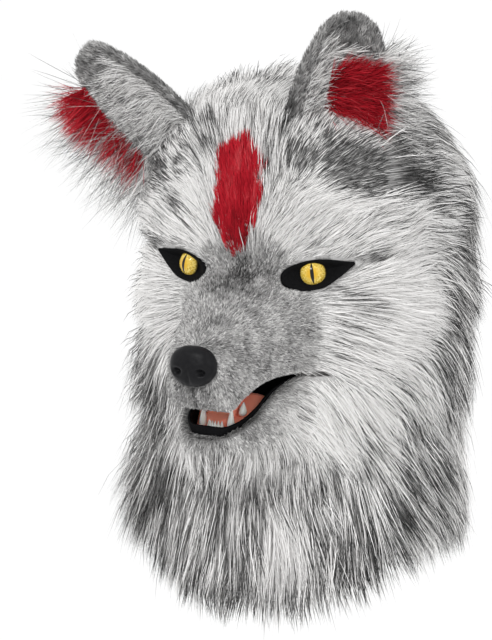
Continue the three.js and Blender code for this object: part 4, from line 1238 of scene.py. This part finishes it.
bridge = np.exp(-(((blades[:, 0]) / 22) ** 2 + ((blades[:, 2] + 112) / 15) ** 2))
# A thin dark line down the middle under the nose: painted shade of the philtrum's groove, which the form
# lacks
under_nose = smoothstep(-blades[:, 2], 158, 166) * (blades[:, 1] < -120) * (blades[:, 2] > LIP_Z - 3)
philtrum_groove_shade = 0.35 * under_nose * np.exp(-((blades[:, 0] / 1.3) ** 2))
blade_tone = 0.45 + speckle + 0.2 * bridge + philtrum_groove_shade - 0.16 * smoothstep(reach, 0.85, 1.2)
blade_tone = blade_tone + 0.6 * patch_dark(blades) + rng.normal(0, 0.2, len(blades))
blade_wide = ribbon_wide(blade_way, blade_normals, 0.9)
blade_width = rng.uniform(0.4, 0.7, len(blades))
jaw_out = (MUZZLE_ROOT_Y - blades[:, 1]) / JAW_LENGTH
lower = (blades[:, 1] < JAW_PLUSH_Y) & (blades[:, 2] < jaw_lip(jaw_out) + 2)
for node, own in (("muzzle", ~lower), ("jaw", lower)):
    piece = ribbon_mesh(
        f"{node}_plush", blade_paths[own], blade_wide[own], blade_width[own], blade_tone[own],
    )
    dress(piece, plush_material, [node])


# Eyes

def make_eye(side, hand):
    eye = eye_frame(side)
    rings = [(0.98, -2.5), (1.0, 2.6), (0.95, 3.2), (0.86, 2.4), (0.7, 0.8), (0.55, -1.2), (0.4, -2.6)]
    surround = lofted(f"eye_surround_{hand}_cloth", np.stack([almond_ring(side, s, d) for s, d in rings]))
    dress(surround, black_cloth, [f"eye_surround_{hand}"])
    centre = eye["at"] + eye["out"] * (EYE_STAND + 1.6 - EYE_BALL_RADIUS)
    polar = np.radians(np.linspace(4, 100, 22))[:, None]
    turn = np.radians(np.linspace(0, 360, 48, endpoint=False))[None, :]
    a = np.sin(polar) * np.cos(turn)
    b = np.sin(polar) * np.sin(turn)
    c = np.broadcast_to(np.cos(polar), a.shape)
    right = -side * eye["along"]
    ball = centre + EYE_BALL_RADIUS * (
        a[..., None] * right + b[..., None] * eye["up"] + c[..., None] * eye["out"]
    )
    obj = lofted(f"eye_{hand}_ball", ball)
    layer = obj.data.uv_layers.new(name="OFBake")
    places = np.empty(len(obj.data.vertices) * 3)
    obj.data.vertices.foreach_get("co", places)
    gap = places.reshape(-1, 3) / MM - centre
    flat = np.stack([gap @ right, gap @ eye["up"]], -1) / (2 * EYE_BALL_RADIUS) + 0.5
    index = np.empty(len(obj.data.loops), dtype=np.int32)
    obj.data.loops.foreach_get("vertex_index", index)
    layer.data.foreach_set("uv", flat[index].reshape(-1))
    dress(obj, amber_eye, [f"eye_{hand}"])


make_eye(1, "left")
make_eye(-1, "right")


# Nose

def make_nose():
    polar = np.radians(np.linspace(2, 178, 56))[:, None]
    turn = np.radians(np.linspace(0, 360, 72, endpoint=False))[None, :]
    x = np.sin(polar) * np.cos(turn)
    z = np.sin(polar) * np.sin(turn)
    y = -np.broadcast_to(np.cos(polar), x.shape)
    form = np.stack([x, y, z], -1)
    squared = form * (np.abs(form) ** 2.6).sum(axis=-1, keepdims=True) ** (-1 / 2.6)
    points = lerp(form, squared, 0.6)
    points[..., 0] *= 1 - 0.12 * smoothstep(-points[..., 2], 0.1, 1.0)
    for side in (1, -1):
        dent = np.exp(-(((points[..., 0] - side * 0.52) / 0.17) ** 2 + ((points[..., 2] + 0.2) / 0.15) ** 2))
        points[..., 1] += 0.55 * dent * (points[..., 1] < 0)
        brow = np.exp(-(((points[..., 0] - side * 0.55) / 0.3) ** 2 + ((points[..., 2] - 0.12) / 0.22) ** 2))
        points[..., 1] -= 0.06 * brow * (points[..., 1] < 0)
    groove = np.exp(-((points[..., 0] / 0.07) ** 2)) * smoothstep(-points[..., 2], -0.05, 0.5)
    points[..., 1] += 0.1 * groove * (points[..., 1] < 0)
    nose = lofted("nose_shape", nose_middle + points * nose_half)
    dress(nose, nose_material(), ["nose"])


make_nose()


# Mouth

def make_mouth():
    lining = lofted("mouth_lining_cloth", pocket_rings(0.2))
    cut(lining, [
        lofted("pocket_inside", pocket_rings(-LINING)),
        lofted("gape", np.stack([gape_ring(x, LINING_RIM) for x in (-PAST_SIDE, PAST_SIDE)])),
    ])
    dress(lining, black_cloth, ["mouth_lining"])
    gum_out = np.linspace(0.48, 0.893, 24)
    y = MUZZLE_ROOT_Y - JAW_LENGTH * gum_out
    half = JAW_HALF_WIDTH * curve(POCKET, "out", "wide", gum_out) - 4.9
    half = half * np.sqrt(np.clip(1 - smoothstep(gum_out, 0.84, 0.92) ** 2, 0.05, 1))
    top = jaw_lip(gum_out) - GUM_SUNK + 0.4
    gum = lofted("gum_shape", across(y, half, top, top - 8, 3.0))
    dress(gum, gum_vinyl, ["gum"])
    tongue_out = np.linspace(0.5, 0.82, 24)
    y = MUZZLE_ROOT_Y - JAW_LENGTH * tongue_out
    share = np.linspace(0, 1, 24)
    half = TONGUE_HALF * np.sqrt(np.clip(1 - smoothstep(share, 0.75, 1.0) ** 2, 0.03, 1))
    rings = across(y, half, jaw_lip(tongue_out) + 3, jaw_lip(tongue_out) - 5, 2.6)
    s = rings[..., 0] / TONGUE_HALF
    wave = 1 + 0.5 * np.sin(share * 14)[:, None]
    upper = rings[..., 2] > (jaw_lip(tongue_out) + 0.5)[:, None]
    rings[..., 2] += np.where(upper, 3.2 * s**2 * wave - 2.2 * (1 - s**2), 0)
    tongue = lofted("tongue_shape", rings)
    dress(tongue, gum_vinyl, ["tongue"])


def tooth_rings(foot, high, wide, deep, lean):
    up = np.array([-0.3, 0.0, 0.25, 0.5, 0.75, 0.9, 1.0])
    size = np.array([0.85, 1.0, 0.86, 0.66, 0.4, 0.2, 0.06])
    turn = np.radians(np.linspace(0, 360, 20, endpoint=False))
    ring = np.stack([wide / 2 * np.cos(turn), deep / 2 * np.sin(turn), np.zeros(20)], -1)
    rings = foot + size[:, None, None] * ring + up[:, None, None] * np.array([0, 0, high])
    return rings + (up.clip(0) ** 2)[:, None, None] * lean


def make_teeth():
    for hand in ("left", "right"):
        for kind, wide, deep in (("canine", 5.2, 6.0), ("molar", 5.4, 7.0)):
            low, high = (np.array(corner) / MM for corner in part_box(f"{kind}_{hand}"))
            foot = (low + high) / 2
            foot[2] = low[2] + 3.0
            lean = np.array([0, 1.5, 0])
            piece = lofted(f"{kind}_{hand}_shape", tooth_rings(foot, high[2] - foot[2], wide, deep, lean))
            dress(piece, tooth_enamel, [f"{kind}_{hand}"])
    low, high = (np.array(corner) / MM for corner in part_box("incisor_row"))
    rows = []
    for share in np.linspace(-0.5, 0.5, 6):
        foot = np.array([(low[0] + high[0]) / 2 + share * (high[0] - low[0] - 3.2), low[1] + 2.4, low[2] + 3])
        foot[1] += 9 * share * share
        rows.append(lofted(f"incisor_{len(rows)}", tooth_rings(foot, 5.6, 3.0, 3.0, np.array([0, 0.5, 0]))))
    dress(joined("incisor_row_shape", rows), tooth_enamel, ["incisor_row"])


make_mouth()
make_teeth()


# Ears

def ear_hair(name, place, count, box, way, long, tones, width, rows, depth, material, nodes, wild, fan):
    """Hair on the ear's front. box: from and to across, from and to up. way: sideways, up, forward.
    wild: how far the hairs' ways vary. fan: how far they spread up and down from the middle."""
    s = rng.uniform(box[0], box[1], count)
    up = rng.uniform(box[2], box[3], count)
    roots = ear_point(place, up, s, np.full(count, depth))
    lean = place["side"] * way[0] + place["high"] * way[1] + place["front"] * way[2]
    spread = place["high"] * ((up - 0.36) * fan)[:, None]
    ways = unit(unit(lean) + spread + rng.normal(0, wild, (count, 3)))
    outs = np.broadcast_to(place["front"], ways.shape)
    lengths = long * rng.uniform(0.65, 1.15, count)
    curves = hair_paths(roots, ways, outs, lengths, np.full(count, 4.0), np.full(count, 0.5), rows, 0.1)
    across_hair = ribbon_wide(ways, outs, 1.2)
    widths = width * rng.uniform(0.7, 1.2, count)
    piece = ribbon_mesh(name, curves, across_hair, widths, tones)
    dress(piece, material, nodes)


def make_ear(hand):
    ear = EARS[hand]
    place = ear_frame(ear)
    ups = np.concatenate([np.linspace(-0.3, 0.9, 34), 0.9 + 0.07 * np.sin(np.linspace(0.1, np.pi / 2, 9))])
    turn = np.radians(np.linspace(0, 360, 56, endpoint=False))
    s = np.sign(np.cos(turn)) * np.abs(np.cos(turn)) ** 0.6
    b = EAR_WALL / 2 * (1 + np.sign(np.sin(turn)) * np.abs(np.sin(turn)) ** 0.6)
    rings = []
    for up in ups:
        shrink = np.sqrt(np.clip(1 - ((up - 0.9) / 0.075) ** 2, 0.02, 1)) if up > 0.9 else 1
        at = np.full(56, min(up, 0.93))
        ring = ear_point(place, at, s * shrink, lerp(EAR_WALL / 2, b, np.sqrt(shrink)))
        rings.append(ring + place["high"] * EAR_HEIGHT * (up - min(up, 0.93)))
    leaf = lofted(f"ear_{hand}_leaf", np.array(rings))
    cut(leaf, [lofted("hood_core", hood_rings(0, 0.4, PAST_HEM))])
    # The backing's ramp turns this tone into a dark grey: the ear's grey with painted shade under its plush
    tones = leaf.data.attributes.new("tone", "FLOAT", "POINT")
    tones.data.foreach_set("value", np.full(len(leaf.data.vertices), 0.62, dtype=np.float32))
    dress(leaf, skin_cloth_painted_shade, [f"ear_{hand}"])
    points, normals, corners = mesh_arrays(leaf)
    roots, outs = scatter(points, normals, corners, 15000, lambda p: np.ones(len(p)))
    ways = place["high"] + 0.25 * rng.normal(0, 1, roots.shape)
    ways = unit(ways - outs * np.sum(ways * outs, axis=1, keepdims=True))
    lengths = rng.uniform(3.2, 6.0, len(roots))
    zeros = np.zeros(len(roots))
    curves = hair_paths(roots, ways, outs, lengths, rng.uniform(15, 50, len(roots)), zeros, 3, 0.08)
    tones = 0.58 + (noise(roots, 2.5, 13) - 0.5) * 0.7 + (noise(roots, 12, 14) - 0.5) * 0.4
    piece = ribbon_mesh(
        f"ear_{hand}_plush", curves, ribbon_wide(ways, outs, 0.9), rng.uniform(0.5, 0.8, len(roots)), tones,
    )
    dress(piece, plush_material, [f"ear_{hand}"])
    lining = [f"ear_lining_{hand}"]
    strips = [
        # name, hairs, box, way, length, dark share, width, rows, depth, wild, fan
        ("band", 1500, (-0.72, -0.3, 0.0, 0.8), (0.5, 1, 0.2), 11, 0.2, 0.45, 4, 1.0, 0.25, 0.5),
        ("lining", 4200, (-0.4, 0.95, -0.1, 0.74), (1, 0.3, 0.3), 14, 0.2, 0.45, 4, 1.0, 0.25, 0.9),
        ("fringe", 2000, (0.6, 1.0, -0.1, 0.72), (1, 0.15, 0.1), ear["fringe"], 0.5, 0.38, 5, 0.7, 0.38, 1.1),
    ]
    for name, count, box, way, long, dark, width, rows, depth, wild, fan in strips:
        ear_hair(
            f"ear_{hand}_{name}_hair", place, count, box, way, long, two_tones(count, dark), width, rows,
            EAR_WALL * depth, fur_material, lining, wild, fan,
        )
    for box in ear["reds"]:
        count, long, fan = box[4:]
        ear_hair(
            f"ear_{hand}_red_hair_{count}", place, count, box[:4], (1, 0.0, 0.6), long,
            rng.uniform(0.15, 0.9, count), 0.5, 4, EAR_WALL + 3, red_material,
            [f"ear_red_fur_{hand}"], 0.3, fan,
        )


make_ear("left")
make_ear("right")

hood_cloth = hood_material()
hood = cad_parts["hood"]
hood.data.materials.clear()
hood.data.materials.append(hood_cloth)


# Floor, light and camera

def make_floor():
    bpy.ops.mesh.primitive_plane_add(size=60, location=(0, 0, -1.5))
    floor = bpy.context.object
    floor.name = "floor"
    material, nodes, links, shader = new_material("pale_floor", 0.9, 0.1)
    patches = noise_node(nodes, links, 1.5, 2)
    color = mixed(nodes, links, patches, (0.985, 0.985, 0.985), (0.995, 0.995, 0.995))
    links.new(color, shader.inputs["Base Color"])
    floor.data.materials.append(material)


LIGHTS = {
    # place, target and size in metres, power in watts
    "key": ((-0.1, -1.7, 1.1), (0, -0.05, -0.15), 0.45, 15),
    "side": ((1.7, -0.9, 0.6), (0, 0, -0.15), 1.0, 5),
}


def area_light(name, place, target, size, power):
    data = bpy.data.lights.new(name, "AREA")
    data.size = size
    data.energy = power
    light = bpy.data.objects.new(name, data)
    light.location = place
    light.rotation_euler = (Vector(target) - Vector(place)).to_track_quat("-Z", "Y").to_euler()
    bpy.context.scene.collection.objects.link(light)


def make_camera():
    back = view_axes()[0]
    data = bpy.data.cameras.new("camera")
    data.sensor_width = SENSOR
    data.lens = LENS
    camera = bpy.data.objects.new("camera", data)
    camera.location = Vector((VIEW_TARGET + back * VIEW_DISTANCE) * MM)
    camera.rotation_euler = Vector(-back).to_track_quat("-Z", "Y").to_euler()
    bpy.context.scene.collection.objects.link(camera)
    bpy.context.scene.camera = camera


def make_world():
    world = bpy.data.worlds.new("studio")
    world.use_nodes = True
    world.node_tree.nodes["Background"].inputs["Color"].default_value = (1, 1, 1, 1)
    world.node_tree.nodes["Background"].inputs["Strength"].default_value = 1.02
    bpy.context.scene.world = world
    bpy.context.scene.view_settings.view_transform = "Standard"


make_floor()
make_world()
for name, light in LIGHTS.items():
    area_light(name, *light)
make_camera()
